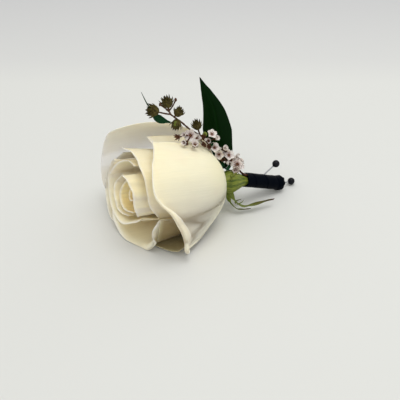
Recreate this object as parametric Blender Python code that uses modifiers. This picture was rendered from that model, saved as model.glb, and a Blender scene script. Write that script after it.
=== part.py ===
"""Boutonniere: a single cream rose with a backing leaf and two filler sprigs, bound in ribbon and pinned.

Every length below is in millimetres; meshes are written in metres. The flower lies on its side: the bloom
rests on its lowest petals and the wrap rests on its tail end. Directions round the bloom are given as an
azimuth, 0 degrees upwards, 90 towards the front, 180 down to the surface and 270 to the back.
"""

import math
import random

import bmesh
import bpy
from mathutils import Matrix, Vector

MM = 0.001
SEED = 7
MERGE_DISTANCE = 5e-7

# Bloom frame: the base of the bloom and how far its face is lifted above the horizontal.
BLOOM_BASE = Vector((0.0, 0.0, 16.5))
BLOOM_PITCH = 9.5
PETAL_THICKNESS = 0.7
PETAL_ROOT_RADIUS = 4.0
PETAL_ROOT_HEIGHT = 2.8
CORE_RADIUS = 11.5
CORE_HEIGHT = 27.0
RIM_CROWDING = 1.7
SIDE_CROWDING = 0.25
SURFACE_CLEARANCE = 0.36
SURFACE_SOFTNESS = 1.6

# Wrap: mouth centre, tail centre and outer radius; STEM_SIDE points from the rose stem to the thin stems.
WRAP_MOUTH = Vector((10.5, 0.5, 14.8))
WRAP_TAIL = Vector((35.0, 3.6, 2.95))
WRAP_RADIUS = 3.85
WRAP_TAIL_ROUND = 0.9
GAP = 0.3
ROSE_STEM_OFFSET = -0.8
ROSE_STEM_RADIUS = 2.1
ROSE_STEM_DEPTH = 15.0
THIN_STEM_OFFSET = 2.75
THIN_STEM_RADIUS = 0.35
THIN_STEM_DEPTH = 5.0
THIN_STEM_ANGLES = {"broad_leaf": -36.0, "sprig_buds": 0.0, "sprig_flowers": 36.0}

# Pins: 0.7 mm steel shafts with 3.8 mm ball heads.
PIN_RADIUS = 0.35
PIN_HEAD_RADIUS = 1.9
PIN_HEAD_DEPTH = 1.9
SIDE_PIN_ENTRY = 13.6
SIDE_PIN_HEAD = Vector((30.1, 4.0, 16.8))
SIDE_PIN_INSIDE = 8.0
END_PIN_OUTSIDE = 5.8
END_PIN_RISE = 0.30
END_PIN_INSIDE = 9.5

COLOURS = {
    "petal_cream": ((0.86, 0.80, 0.62), 0.55),
    "sepal_green": ((0.20, 0.27, 0.06), 0.50),
    "leaf_green": ((0.010, 0.055, 0.014), 0.32),
    "bud_olive": ((0.12, 0.09, 0.03), 0.65),
    "blossom_white": ((0.78, 0.68, 0.64), 0.60),
    "ribbon_navy": ((0.006, 0.008, 0.020), 0.30),
    "pin_steel": ((0.45, 0.46, 0.48), 0.28),
    "pin_black": ((0.008, 0.008, 0.010), 0.20),
}


class Petal:
    """One rose petal: where it sits, how its side profile runs and how its rim curls.

    The side profile is a Bezier curve from the root to the rim, written as (radius, height) points. `centre`
    and `half` are the azimuth of its middle and its half width in degrees. `corner` and `tilt` lower the rim
    towards its sides, `roll` is the length of rim that curls outwards round a radius `curl`, and `bend` folds
    the petal outwards by (low side, middle, high side) degrees above the profile parameter `pivot`.
    """

    def __init__(self, name, centre, half, profile, corner=0.12, power=3.0, tilt=0.0, roll=3.0, curl=2.0,
                 side_roll=0.0, bias=0.0, spiral=0.0, claw=0.62, narrow=0.15, bend=(0.0, 0.0, 0.0),
                 pivot=0.4, start=0.0, grid=(12, 12)):
        self.name = name
        self.centre = centre
        self.half = half
        self.profile = profile
        self.corner = corner
        self.power = power
        self.tilt = tilt
        self.roll = roll
        self.curl = curl
        self.side_roll = side_roll
        self.bias = bias
        self.spiral = spiral
        self.claw = claw
        self.narrow = narrow
        self.bend = bend
        self.pivot = pivot
        self.start = start
        self.grid = grid
        steps = [bezier(profile, i / 40.0) for i in range(41)]
        self.length = sum(math.dist(a, b) for a, b in zip(steps, steps[1:]))
        self.widest = max(radius for radius, height in steps)

    def base_point(self, u, v):
        """Point of the uncurled petal, u from -1 to 1 across and v from 0 at the root to 1 at the rim."""
        rim = 1.0 - self.corner * abs(u) ** self.power - self.tilt * u
        s = v * rim
        radius, height = bezier(self.profile, s)
        low, middle, high = self.bend
        if (low or middle or high) and s > self.pivot:
            angle = middle + (high - middle) * max(u, 0.0) ** 2 + (low - middle) * max(-u, 0.0) ** 2
            angle = math.radians(angle) * ((s - self.pivot) / (1.0 - self.pivot)) ** 0.8
            pivot_radius, pivot_height = bezier(self.profile, self.pivot)
            across = radius - pivot_radius
            along = height - pivot_height
            radius = pivot_radius + across * math.cos(angle) + along * math.sin(angle)
            height = pivot_height - across * math.sin(angle) + along * math.cos(angle)
        half = math.radians(self.half) * (self.claw + (1.0 - self.claw) * smooth(0.0, 0.55, s))
        half *= 1.0 - self.narrow * smooth(0.6, 1.0, s)
        azimuth = math.radians(self.centre) + u * half
        radius += self.spiral * u * smooth(0.0, 0.4, s)
        return Vector((radius * math.cos(azimuth), radius * math.sin(azimuth), height))

    def point(self, u, v):
        """Point of the petal with its rim curled outwards."""
        place = self.base_point(u, v)
        top_length = self.roll * (1.0 + self.bias * u)
        top = max(0.0, v * self.length - (self.length - top_length)) if top_length > 0.0 else 0.0
        half_width = math.radians(self.half) * self.widest
        side_length = self.side_roll * (1.0 + self.bias * math.copysign(1.0, u))
        side = 0.0
        if side_length > 0.0:
            side = max(0.0, abs(u) * half_width - (half_width - side_length)) * smooth(0.35, 0.75, v)
        reach = math.hypot(top, side)
        if reach < 1e-6:
            return place
        step = 0.01
        across = (self.base_point(u + step, v) - self.base_point(u - step, v)).normalized()
        along = (self.base_point(u, v + step) - self.base_point(u, v - step)).normalized()
        outward = across.cross(along).normalized()
        if outward.dot(Vector((place.x, place.y, 0.0))) < 0.0:
            outward = -outward
        heading = ((along * top + across * math.copysign(side, u)) / reach).normalized()
        angle = min(reach / self.curl, 3.6)
        spare = reach - angle * self.curl
        forward = self.curl * math.sin(angle) - reach + spare * math.cos(angle)
        lift = self.curl * (1.0 - math.cos(angle)) + spare * math.sin(angle)
        return place + heading * forward + outward * lift


def bezier(points, t):
    """Value of a cubic Bezier curve with two coordinates."""
    a, b, c, d = points
    k = 1.0 - t
    weights = (k ** 3, 3.0 * k * k * t, 3.0 * k * t * t, t ** 3)
    return tuple(sum(w * p[axis] for w, p in zip(weights, (a, b, c, d))) for axis in range(2))


def smooth(low, high, value):
    """Smooth step from 0 at low to 1 at high."""
    t = min(1.0, max(0.0, (value - low) / (high - low)))
    return t * t * (3.0 - 2.0 * t)


def cup(radius, height, belly=1.0, root=(PETAL_ROOT_RADIUS, PETAL_ROOT_HEIGHT)):
    """Side profile of a cupped petal with the given rim radius and rim height."""
    return (root, (radius * 0.74, 3.2), (radius * 1.10 * belly, height * 0.40), (radius, height))


def above_surface(height):
    """Height pressed up softly, so that a blade that would sink into the surface lies on it."""
    span = SURFACE_SOFTNESS
    start = SURFACE_CLEARANCE + span
    if height >= start:
        return height
    return SURFACE_CLEARANCE + span * math.exp((height - start) / span)


def rose_petals():
    """All petals of the bloom, from the outside in."""
    petals = [
        Petal("front", 36, 54, cup(24.2, 48, 0.98), corner=0.06, power=2.6, tilt=-0.02, roll=4.5, curl=1.6,
              side_roll=1.5, spiral=2.4, narrow=0.06, claw=0.85, grid=(11, 11)),
        Petal("low_front", 94, 42, cup(23.5, 48), corner=0.05, tilt=0.02, roll=9.0, curl=2.6, side_roll=3.0,
              bias=0.4, spiral=1.5, bend=(0, 2, 14), narrow=0.05, claw=0.8, grid=(11, 11)),
        Petal("under", 152, 60, cup(23.0, 51), corner=0.13, power=1.5, roll=6.0, curl=2.3, side_roll=3.0,
              spiral=-1.5, claw=0.8, grid=(11, 11)),
        Petal("far_low", 228, 56, cup(26.0, 54), corner=0.10, roll=2.0, curl=3.0, side_roll=2.0,
              bend=(0, 4, 3), grid=(9, 8)),
        Petal("back", 280, 52, cup(29.0, 55, 1.25), corner=0.02, power=6.0, roll=0.0, claw=0.8, narrow=0.22,
              grid=(10, 8)),
        Petal("top", 350, 44, cup(22.0, 42), corner=0.06, roll=2.0, side_roll=2.0, claw=0.8, grid=(8, 7)),
    ]
    middle = ((50, 19.0, 47), (120, 18.0, 50), (185, 19.0, 50), (255, 20.0, 51), (330, 19.0, 47))
    for index, (centre, radius, height) in enumerate(middle):
        petals.append(Petal("middle_%d" % index, centre, 56, cup(radius, height, 0.97), roll=3.0, curl=2.2,
                            side_roll=3.0, spiral=1.6, start=0.4, grid=(8, 5)))
    inner = ((85, 14.5, 51), (30, 13.0, 51), (210, 13.5, 52), (300, 12.5, 52))
    for index, (centre, radius, height) in enumerate(inner):
        petals.append(Petal("inner_%d" % index, centre, 68, cup(radius, height, 0.95, (2, 3)), corner=0.10,
                            roll=2.0, side_roll=2.0, spiral=2.0, start=0.55, grid=(7, 4)))
    for index in range(3):
        petals.append(Petal("heart_%d" % index, 60 + index * 144, 100,
                            cup(8.4 - index * 2.0, 54, 0.9, (1, 3)), corner=0.08, roll=1.0, side_roll=1.0,
                            spiral=1.5, start=0.55, grid=(7, 3)))
    return petals


def clear_scene():
    """Remove every object and every unused mesh, curve and material."""
    for item in list(bpy.data.objects):
        bpy.data.objects.remove(item, do_unlink=True)
    for store in (bpy.data.meshes, bpy.data.curves, bpy.data.materials):
        for block in list(store):
            store.remove(block)
    for group in list(bpy.data.collections):
        bpy.data.collections.remove(group)


def make_material(name):
    """Plain surface of one colour."""
    colour, roughness = COLOURS[name]
    material = bpy.data.materials.new(name)
    material.use_nodes = True
    shader = material.node_tree.nodes["Principled BSDF"]
    shader.inputs["Base Color"].default_value = (*colour, 1.0)
    shader.inputs["Roughness"].default_value = roughness
    if name == "pin_steel":
        shader.inputs["Metallic"].default_value = 1.0
    return material


def link(item, group=None):
    """Put an object into a collection, the scene's own by default."""
    (group or bpy.context.scene.collection).objects.link(item)
    return item


def mesh_item(name, bm, group=None):
    """Turn a bmesh in millimetres into an object in metres."""
    bmesh.ops.scale(bm, vec=(MM, MM, MM), verts=bm.verts)
    mesh = bpy.data.meshes.new(name)
    bm.to_mesh(mesh)
    bm.free()
    return link(bpy.data.objects.new(name, mesh), group)


def evaluated_mesh(item):
    """Mesh of an object with all its modifiers applied."""
    graph = bpy.context.evaluated_depsgraph_get()
    return bpy.data.meshes.new_from_object(item.evaluated_get(graph))


def bake(item):
    """Apply the modifiers of a mesh object."""
    mesh = evaluated_mesh(item)
    item.modifiers.clear()
    item.data = mesh
    return item


def face_outwards(item):
    """Triangulate, merge doubled points and point every face outwards."""
    bm = bmesh.new()
    bm.from_mesh(item.data)
    bmesh.ops.remove_doubles(bm, verts=bm.verts, dist=1e-7)
    bmesh.ops.triangulate(bm, faces=bm.faces)
    bmesh.ops.recalc_face_normals(bm, faces=bm.faces)
    bm.to_mesh(item.data)
    bm.free()
    return item


def sheet(name, columns, rows, shape, thickness, group):
    """Thin closed blade: a shaped grid, split into triangles and thickened evenly to both sides."""
    bm = bmesh.new()
    bmesh.ops.create_grid(bm, x_segments=columns, y_segments=rows, size=1.0)
    for vert in bm.verts:
        vert.co = shape(vert.co.x, (vert.co.y + 1.0) / 2.0)
    bmesh.ops.triangulate(bm, faces=bm.faces)
    item = mesh_item(name, bm, group)
    wall = item.modifiers.new("Thickness", "SOLIDIFY")
    wall.thickness = thickness * MM
    wall.offset = 0.0
    wall.use_even_offset = False
    return face_outwards(bake(item))


def tube(name, points, radii, group, sides=1):
    """Round stem along a line of points, closed at both ends."""
    curve = bpy.data.curves.new(name, "CURVE")
    curve.dimensions = "3D"
    curve.bevel_depth = MM
    curve.bevel_resolution = sides
    curve.use_fill_caps = True
    spline = curve.splines.new("POLY")
    spline.points.add(len(points) - 1)
    for slot, place, radius in zip(spline.points, points, radii):
        slot.co = (*(Vector(place) * MM), 1.0)
        slot.radius = radius
    line = link(bpy.data.objects.new(name + "_line", curve), group)
    mesh = evaluated_mesh(line)
    bpy.data.objects.remove(line, do_unlink=True)
    bpy.data.curves.remove(curve)
    return face_outwards(link(bpy.data.objects.new(name, mesh), group))


def flowing(points, steps=3):
    """Smooth line through the points, with `steps` pieces between each pair."""
    anchors = [Vector(p) for p in points]
    anchors = [anchors[0] * 2.0 - anchors[1]] + anchors + [anchors[-1] * 2.0 - anchors[-2]]
    line = []
    for a, b, c, d in zip(anchors, anchors[1:], anchors[2:], anchors[3:]):
        for step in range(steps):
            t = step / steps
            line.append(0.5 * (2.0 * b + (c - a) * t + (2.0 * a - 5.0 * b + 4.0 * c - d) * t * t
                               + (3.0 * b - a - 3.0 * c + d) * t ** 3))
    line.append(anchors[-2])
    return line


def turned(name, profile, segments, place, group):
    """Solid turned about the local Z axis from (radius, height) points, then moved by the matrix `place`."""
    bm = bmesh.new()
    verts = [bm.verts.new((radius, 0.0, height)) for radius, height in profile]
    for first, second in zip(verts, verts[1:]):
        bm.edges.new((first, second))
    item = mesh_item(name, bm, group)
    screw = item.modifiers.new("Turn", "SCREW")
    screw.steps = segments
    screw.render_steps = segments
    screw.use_merge_vertices = True
    screw.merge_threshold = 0.00001
    bake(item)
    metric = place.copy()
    metric.translation = place.translation * MM
    item.data.transform(metric)
    return face_outwards(item)


def frame_along(origin, direction, up=Vector((0.0, 0.0, 1.0))):
    """Matrix whose local Z axis runs along a direction from an origin."""
    z_axis = Vector(direction).normalized()
    x_axis = up.cross(z_axis)
    if x_axis.length < 1e-4:
        x_axis = Vector((1.0, 0.0, 0.0))
    x_axis.normalize()
    y_axis = z_axis.cross(x_axis)
    matrix = Matrix((x_axis, y_axis, z_axis)).transposed().to_4x4()
    matrix.translation = Vector(origin)
    return matrix


def keep_largest_shell(item):
    """Drop closed pockets and crumbs, so that one outer shell is left."""
    bm = bmesh.new()
    bm.from_mesh(item.data)
    bmesh.ops.remove_doubles(bm, verts=bm.verts, dist=MERGE_DISTANCE)
    bmesh.ops.dissolve_degenerate(bm, edges=bm.edges, dist=MERGE_DISTANCE)
    unseen = set(bm.verts)
    shells = []
    while unseen:
        front = [unseen.pop()]
        shell = set(front)
        while front:
            vert = front.pop()
            for edge in vert.link_edges:
                other = edge.other_vert(vert)
                if other in unseen:
                    unseen.discard(other)
                    shell.add(other)
                    front.append(other)
        shells.append(shell)
    shells.sort(key=len, reverse=True)
    crumbs = [vert for shell in shells[1:] for vert in shell]
    bmesh.ops.delete(bm, geom=crumbs, context="VERTS")
    bmesh.ops.triangulate(bm, faces=bm.faces)
    bm.to_mesh(item.data)
    bm.free()
    return item


def fuse(item, group):
    """Join a solid with every solid of a collection into one closed body."""
    union = item.modifiers.new("Union", "BOOLEAN")
    union.operation = "UNION"
    union.operand_type = "COLLECTION"
    union.collection = group
    union.solver = "EXACT"
    union.use_self = True
    bake(item)
    for piece in list(group.objects):
        bpy.data.objects.remove(piece, do_unlink=True)
    bpy.data.collections.remove(group)
    return keep_largest_shell(item)


def drill(item, cutters):
    """Cut every solid of a collection out of a solid."""
    cut = item.modifiers.new("Holes", "BOOLEAN")
    cut.operation = "DIFFERENCE"
    cut.operand_type = "COLLECTION"
    cut.collection = cutters
    cut.solver = "EXACT"
    bake(item)
    for piece in list(cutters.objects):
        bpy.data.objects.remove(piece, do_unlink=True)
    bpy.data.collections.remove(cutters)
    return keep_largest_shell(item)


def workshop(name):
    """Collection for solids that are fused or cut and then removed."""
    group = bpy.data.collections.new(name)
    bpy.context.scene.collection.children.link(group)
    group.hide_render = True
    return group


def finish(item, name, material):
    """Give a finished solid its name and its one material."""
    item.name = name
    item.data.name = name
    item.data.materials.clear()
    item.data.materials.append(material)
    for polygon in item.data.polygons:
        polygon.use_smooth = True
    return item


def bloom_matrix():
    """Matrix from the bloom frame (up, front, along its axis) to the world."""
    pitch = math.radians(BLOOM_PITCH)
    up = Vector((math.sin(pitch), 0.0, math.cos(pitch)))
    front = Vector((0.0, -1.0, 0.0))
    axis = Vector((-math.cos(pitch), 0.0, math.sin(pitch)))
    matrix = Matrix((up, front, axis)).transposed().to_4x4()
    matrix.translation = BLOOM_BASE
    return matrix


def wrap_axes():
    """Direction of the wrap, the side its thin stems are on, and the third direction."""
    along = (WRAP_TAIL - WRAP_MOUTH).normalized()
    side = Vector((0.0, 0.55, 0.83))
    side = (side - along * side.dot(along)).normalized()
    return along, side, along.cross(side)


def thin_stem_mouth(name):
    """Where a thin stem enters the wrap."""
    along, side, third = wrap_axes()
    angle = math.radians(THIN_STEM_ANGLES[name])
    return WRAP_MOUTH + THIN_STEM_OFFSET * (side * math.cos(angle) + third * math.sin(angle))


def thin_stem_tail(name):
    """Inner end of a thin stem, inside the wrap."""
    return thin_stem_mouth(name) + wrap_axes()[0] * THIN_STEM_DEPTH


def build_bloom(material):
    """Rose bloom: every petal and a solid heart fused into one body."""
    group = workshop("bloom_pieces")
    place = bloom_matrix()

    def shape_of(petal):
        def shape(u, t):
            v = petal.start + (1.0 - petal.start) * (1.0 - (1.0 - t) ** RIM_CROWDING)
            spot = place @ petal.point(u * (1.0 + SIDE_CROWDING * (1.0 - u * u)), v)
            spot.z = above_surface(spot.z)
            return spot
        return shape

    for petal in rose_petals():
        sheet(petal.name, petal.grid[0], petal.grid[1], shape_of(petal), PETAL_THICKNESS, group)
    profile = [(0.0, 2.4), (4.6, 2.4), (8.5, 5.6), (CORE_RADIUS, 12.0), (CORE_RADIUS + 1.5, 20.0),
               (CORE_RADIUS, CORE_HEIGHT), (0.0, CORE_HEIGHT + 2.0)]
    core = turned("bloom_core", profile, 16, place, bpy.context.scene.collection)
    return finish(fuse(core, group), "rose_bloom", material)


def sepal(name, points, widths, group, thickness=0.7):
    """Narrow pointed blade along a line of points."""
    line = flowing(points, 3)
    last = len(line) - 1

    def shape(u, v):
        position = v * last
        index = min(int(position), last - 1)
        blend = position - index
        spot = line[index].lerp(line[index + 1], blend)
        heading = (line[index + 1] - line[index]).normalized()
        across = heading.cross(Vector((0.0, 0.3, 1.0))).normalized()
        rise = across.cross(heading)
        step = v * (len(widths) - 1)
        slot = min(int(step), len(widths) - 2)
        width = widths[slot] + (widths[slot + 1] - widths[slot]) * (step - slot)
        spot = spot + across * (u * width * 0.5) + rise * (abs(u) ** 2 * width * 0.12)
        spot.z = above_surface(spot.z)
        return spot

    return sheet(name, 2, last, shape, thickness, group)


def build_hip(material):
    """Rose hip with its five sepals and the cut stem that runs down inside the wrap."""
    along, side, third = wrap_axes()
    start = WRAP_MOUTH + side * ROSE_STEM_OFFSET
    points = [Vector((-1.8, 0.0, 16.8)), Vector((0.1, 0.0, 16.5)), Vector((2.0, 0.0, 16.18)),
              Vector((4.4, 0.0, 15.78)), Vector((6.6, -0.05, 15.3)), Vector((8.3, -0.1, 14.85)),
              start - along * 0.4, start + along * 1.5, start + along * 8.0, start + along * ROSE_STEM_DEPTH]
    radii = [4.6, 5.4, 5.7, 5.2, 4.2, 3.2, 2.4, 2.2, ROSE_STEM_RADIUS, ROSE_STEM_RADIUS]
    body = tube("hip_body", points, radii, bpy.context.scene.collection, sides=5)
    group = workshop("hip_pieces")
    sepal("sepal_front", [(1.5, -2.5, 13.0), (2.5, -5.5, 8.5), (6.7, -7.2, 4.4), (13.0, -7.6, 4.2),
                          (20.5, -8.0, 4.6), (24.0, -8.2, 4.9)], [3.8, 3.4, 2.8, 2.4, 1.9, 0.8], group)
    sepal("sepal_front_lobe", [(4.0, -6.6, 6.0), (5.6, -8.3, 8.4), (6.2, -8.8, 10.2)], [1.4, 1.1, 0.7], group)
    sepal("sepal_low", [(1.0, -1.5, 12.4), (0.6, -5.4, 7.4), (4.0, -8.6, 3.2), (8.2, -9.0, 2.2),
                        (11.5, -8.4, 1.7)], [3.4, 3.2, 2.7, 2.0, 0.8], group)
    sepal("sepal_far_low", [(1.5, 2.0, 12.6), (2.6, 5.6, 8.6), (6.0, 9.0, 4.8), (11.0, 11.0, 3.0)],
          [3.2, 2.8, 1.8, 0.8], group)
    sepal("sepal_far", [(1.5, 3.2, 16.5), (1.6, 7.6, 15.6), (3.6, 11.6, 12.6), (6.0, 14.4, 8.6)],
          [3.2, 2.8, 1.8, 0.8], group)
    sepal("sepal_top", [(1.6, -1.6, 19.5), (1.2, -3.4, 21.6), (2.6, -4.2, 23.6), (4.2, -4.6, 24.6)],
          [3.0, 2.6, 1.6, 0.8], group)
    return finish(fuse(body, group), "rose_hip", material)


def build_leaf(material):
    """Broad pointed backing leaf with the petiole that goes into the wrap."""
    group = workshop("leaf_pieces")
    mouth = thin_stem_mouth("broad_leaf")
    tail = thin_stem_tail("broad_leaf")
    midrib = [(3.7, 10.0, 17.3), (3.4, 12.8, 21.5), (2.9, 15.0, 25.6), (2.3, 18.0, 35.6), (1.2, 20.0, 46.3),
              (-0.9, 22.0, 55.1), (-2.4, 23.2, 59.1), (-3.9, 24.1, 63.0)]
    line = flowing(midrib, 3)
    widths = [1.0, 4.4, 6.6, 7.3, 6.9, 4.9, 2.7, 0.55]
    last = len(line) - 1
    across = Vector((0.93, -0.36, -0.05)).normalized()

    def shape(u, v):
        position = v * last
        index = min(int(position), last - 1)
        spot = line[index].lerp(line[index + 1], position - index)
        heading = (line[index + 1] - line[index]).normalized()
        face = across.cross(heading).normalized()
        step = v * (len(widths) - 1)
        slot = min(int(step), len(widths) - 2)
        width = widths[slot] + (widths[slot + 1] - widths[slot]) * (step - slot)
        return spot + across * (u * width) - face * (abs(u) ** 1.6 * width * 0.22)

    blade = sheet("leaf_blade", 6, last, shape, 0.7, bpy.context.scene.collection)
    along = wrap_axes()[0]
    stalk = flowing([mouth - along * 1.0, Vector((7.4, 6.6, 16.6)), Vector((5.0, 9.0, 16.6)),
                     Vector((3.65, 10.8, 18.4)), Vector((3.4, 12.9, 21.5))], 3)
    points = [tail, mouth] + stalk
    radii = [THIN_STEM_RADIUS, THIN_STEM_RADIUS] + [0.42] * len(stalk)
    tube("petiole", points, radii, group)
    return finish(fuse(blade, group), "broad_leaf", material)


def bud_head(name, centre, axis, size, group):
    """Small scaly bud head with a ragged crown of tips."""
    bm = bmesh.new()
    bmesh.ops.create_uvsphere(bm, u_segments=10, v_segments=6, radius=1.0)
    for vert in bm.verts:
        height = vert.co.z
        if 0.2 < height < 0.95:
            turn = math.atan2(vert.co.y, vert.co.x)
            tip = 1.0 if round(turn / (math.pi / 5.0)) % 2 == 0 else 0.0
            vert.co.x *= 0.85 + 0.5 * tip
            vert.co.y *= 0.85 + 0.5 * tip
            vert.co.z += 0.45 * tip
        vert.co.z *= 1.05
    matrix = frame_along(centre, axis)
    bmesh.ops.scale(bm, vec=(size, size, size), verts=bm.verts)
    bmesh.ops.transform(bm, matrix=matrix, verts=bm.verts)
    return face_outwards(mesh_item(name, bm, group))


def blade(name, root, tip, width, face, group, thickness=0.6):
    """Small straight leaf from root to tip."""
    root = Vector(root)
    tip = Vector(tip)
    heading = (tip - root).normalized()
    across = heading.cross(Vector(face)).normalized()
    rise = across.cross(heading)

    def shape(u, v):
        half = 0.5 * width * (0.25 + 0.75 * math.sin(math.pi * min(1.0, v * 0.95 + 0.05)) ** 0.7)
        return root.lerp(tip, v) + across * (u * half) + rise * (math.sin(math.pi * v) * width * 0.2)

    return sheet(name, 2, 5, shape, thickness, group)


def build_bud_sprig(material):
    """Long filler sprig: woody twig, bud heads, stalked buds, one small leaf and one needle leaf."""
    group = workshop("bud_pieces")
    along = wrap_axes()[0]
    mouth = thin_stem_mouth("sprig_buds")
    lead = flowing([mouth - along * 1.0, Vector((8.0, 6.6, 19.0)), Vector((3.7, 10.2, 22.8)),
                    Vector((-2.6, 10.4, 32.2)), Vector((-9.6, 9.4, 40.7)), Vector((-14.6, 9.3, 45.3)),
                    Vector((-18.6, 9.0, 50.1)), Vector((-22.4, 9.0, 54.2)), Vector((-24.6, 8.5, 57.0)),
                    Vector((-25.5, 8.5, 61.0))], 2)
    points = [thin_stem_tail("sprig_buds"), mouth] + lead
    radii = [THIN_STEM_RADIUS, THIN_STEM_RADIUS] + [0.45] * len(lead)
    twig = tube("twig", points, radii, bpy.context.scene.collection)
    branches = [[(-24.0, 8.6, 56.2), (-27.0, 8.2, 57.6), (-31.0, 8.0, 59.6)],
                [(-24.6, 8.5, 57.4), (-26.6, 8.2, 60.0), (-29.1, 8.0, 62.8)],
                [(-24.8, 8.5, 58.6), (-22.9, 8.5, 61.0), (-21.7, 8.5, 63.5)],
                [(-22.4, 9.0, 54.2), (-21.0, 9.2, 55.8), (-20.2, 9.0, 56.6)],
                [(-20.6, 9.0, 52.4), (-21.6, 8.4, 51.2), (-22.2, 8.0, 50.6)],
                [(-9.6, 9.4, 40.7), (-10.3, 9.4, 43.2), (-11.2, 9.3, 46.4)]]
    for index, points in enumerate(branches):
        tube("branch_%d" % index, flowing(points, 2), [0.4] * (2 * len(points) - 1), group)
    heads = [((-32.6, 8.0, 60.6), (-0.9, 0.0, 0.35), 2.7), ((-25.7, 8.5, 63.0), (-0.25, 0.1, 1.0), 2.6),
             ((-20.4, 9.0, 56.4), (0.5, 0.1, 0.85), 2.2), ((-21.9, 8.0, 51.0), (-0.4, -0.4, -0.5), 2.3),
             ((-11.3, 9.3, 47.0), (-0.2, 0.1, 1.0), 2.3), ((-29.2, 8.0, 62.9), (-0.6, 0.0, 0.8), 0.75),
             ((-21.7, 8.5, 63.4), (0.4, 0.0, 1.0), 0.75), ((-23.0, 8.7, 57.4), (0.2, -0.6, 0.7), 1.3)]
    for index, (centre, axis, size) in enumerate(heads):
        bud_head("head_%d" % index, centre, axis, size, group)
    blade("small_leaf", (-31.8, 8.0, 58.6), (-25.4, 7.6, 52.9), 3.4, (-0.3, -0.7, 0.6), group)
    tube("needle_leaf", [(-33.4, 8.0, 61.4), (-35.3, 8.0, 65.0), (-37.4, 8.0, 70.8)], [0.4, 0.36, 0.3], group)
    return finish(fuse(twig, group), "sprig_buds", material)


def blossom(name, centre, face, size, group, depth=1.0):
    """Small five-petalled flower with a pointed cup behind it."""
    bm = bmesh.new()
    made = bmesh.ops.create_cone(bm, cap_ends=True, cap_tris=False, segments=20, radius1=0.86, radius2=1.0,
                                 depth=depth / size)
    for vert in made["verts"]:
        turn = math.atan2(vert.co.y, vert.co.x)
        lobe = 0.74 + 0.26 * abs(math.cos(2.5 * turn)) ** 0.6
        vert.co.x *= lobe
        vert.co.y *= lobe
    bmesh.ops.scale(bm, vec=(size, size, size), verts=bm.verts)
    bmesh.ops.transform(bm, matrix=frame_along(centre, face), verts=bm.verts)
    face_outwards(mesh_item(name, bm, group))
    back = Vector(centre) - Vector(face).normalized() * size * 0.9
    profile = [(0.0, 0.0), (0.34 * size, 0.0), (0.5 * size, 0.9 * size), (0.0, 0.9 * size)]
    return turned(name + "_cup", profile, 8, frame_along(back, face), group)


def build_flower_sprig(material):
    """Short filler sprig: a twig with small pale five-petalled flowers on short stalks."""
    random.seed(SEED)
    group = workshop("flower_pieces")
    along = wrap_axes()[0]
    mouth = thin_stem_mouth("sprig_flowers")
    lead = flowing([mouth - along * 1.0, Vector((8.2, 3.4, 20.0)), Vector((5.4, 5.4, 24.0)),
                    Vector((1.8, 7.0, 28.2)), Vector((-2.6, 7.6, 32.6)), Vector((-7.0, 7.4, 38.0)),
                    Vector((-11.6, 6.6, 42.0)), Vector((-15.4, 5.9, 44.0))], 2)
    points = [thin_stem_tail("sprig_flowers"), mouth] + lead
    radii = [THIN_STEM_RADIUS, THIN_STEM_RADIUS] + [0.42] * len(lead)
    twig = tube("twig", points, radii, bpy.context.scene.collection)
    view = Vector((-0.29, -0.71, 0.64))
    flowers = [((-16.0, 5.0, 44.9), (0.0, 0.0, 0.0), 2.7), ((-4.4, 6.0, 41.8), (0.4, 0.2, 0.2), 2.4),
               ((-3.7, 6.6, 34.2), (0.3, 0.0, 0.3), 2.3), ((-1.2, 5.6, 29.8), (-0.2, -0.3, 0.0), 2.0),
               ((2.2, 5.4, 32.6), (0.3, 0.2, 0.2), 2.0), ((4.4, 4.4, 29.4), (0.3, 0.0, 0.0), 2.2),
               ((8.1, 3.0, 23.0), (0.5, -0.1, 0.2), 3.0), ((5.1, -0.6, 23.1), (0.1, -0.3, 0.0), 1.9),
               ((-16.6, 0.2, 43.9), (0.2, 0.2, 0.5), 2.2), ((-19.6, 2.6, 45.4), (-0.6, 0.2, 0.2), 1.6)]
    for index, (centre, lean, size) in enumerate(flowers):
        face = view + Vector(lean)
        blossom("flower_%d" % index, centre, face, size, group)
        root = min(lead, key=lambda spot: (spot - Vector(centre)).length)
        back = Vector(centre) - face.normalized() * size * 0.6
        tube("stalk_%d" % index, [root, root.lerp(back, 0.5) + Vector((0.0, 0.3, 0.2)), back],
             [0.35, 0.35, 0.35], group)
    return finish(fuse(twig, group), "sprig_flowers", material)


def side_pin_axis():
    """Point where the side pin enters the wrap, and its direction outwards to its head."""
    along, side, third = wrap_axes()
    middle = WRAP_MOUTH + along * SIDE_PIN_ENTRY
    outward = (SIDE_PIN_HEAD - (middle + Vector((0.0, 0.3, 0.9)) * WRAP_RADIUS * 0.9)).normalized()
    return SIDE_PIN_HEAD, outward


def end_pin_axis():
    """Centre of the end pin's head and its direction outwards."""
    along, side, third = wrap_axes()
    outward = (along + Vector((0.0, 0.0, END_PIN_RISE))).normalized()
    return WRAP_TAIL + outward * END_PIN_OUTSIDE, outward


def pin_length(name):
    """Length of a pin shaft from the bottom of the hole in its head to its tip."""
    if name == "side":
        return (SIDE_PIN_HEAD - side_pin_tip()).length
    return END_PIN_OUTSIDE + END_PIN_INSIDE


def side_pin_tip():
    """Tip of the side pin, inside the rose stem."""
    head, outward = side_pin_axis()
    along, side, third = wrap_axes()
    return head - outward * 16.8


def rod(name, start, end, radius, segments, group):
    """Plain round rod between two points."""
    length = (end - start).length
    profile = [(0.0, 0.0), (radius, 0.0), (radius, length), (0.0, length)]
    return turned(name, profile, segments, frame_along(start, end - start), group)


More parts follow.
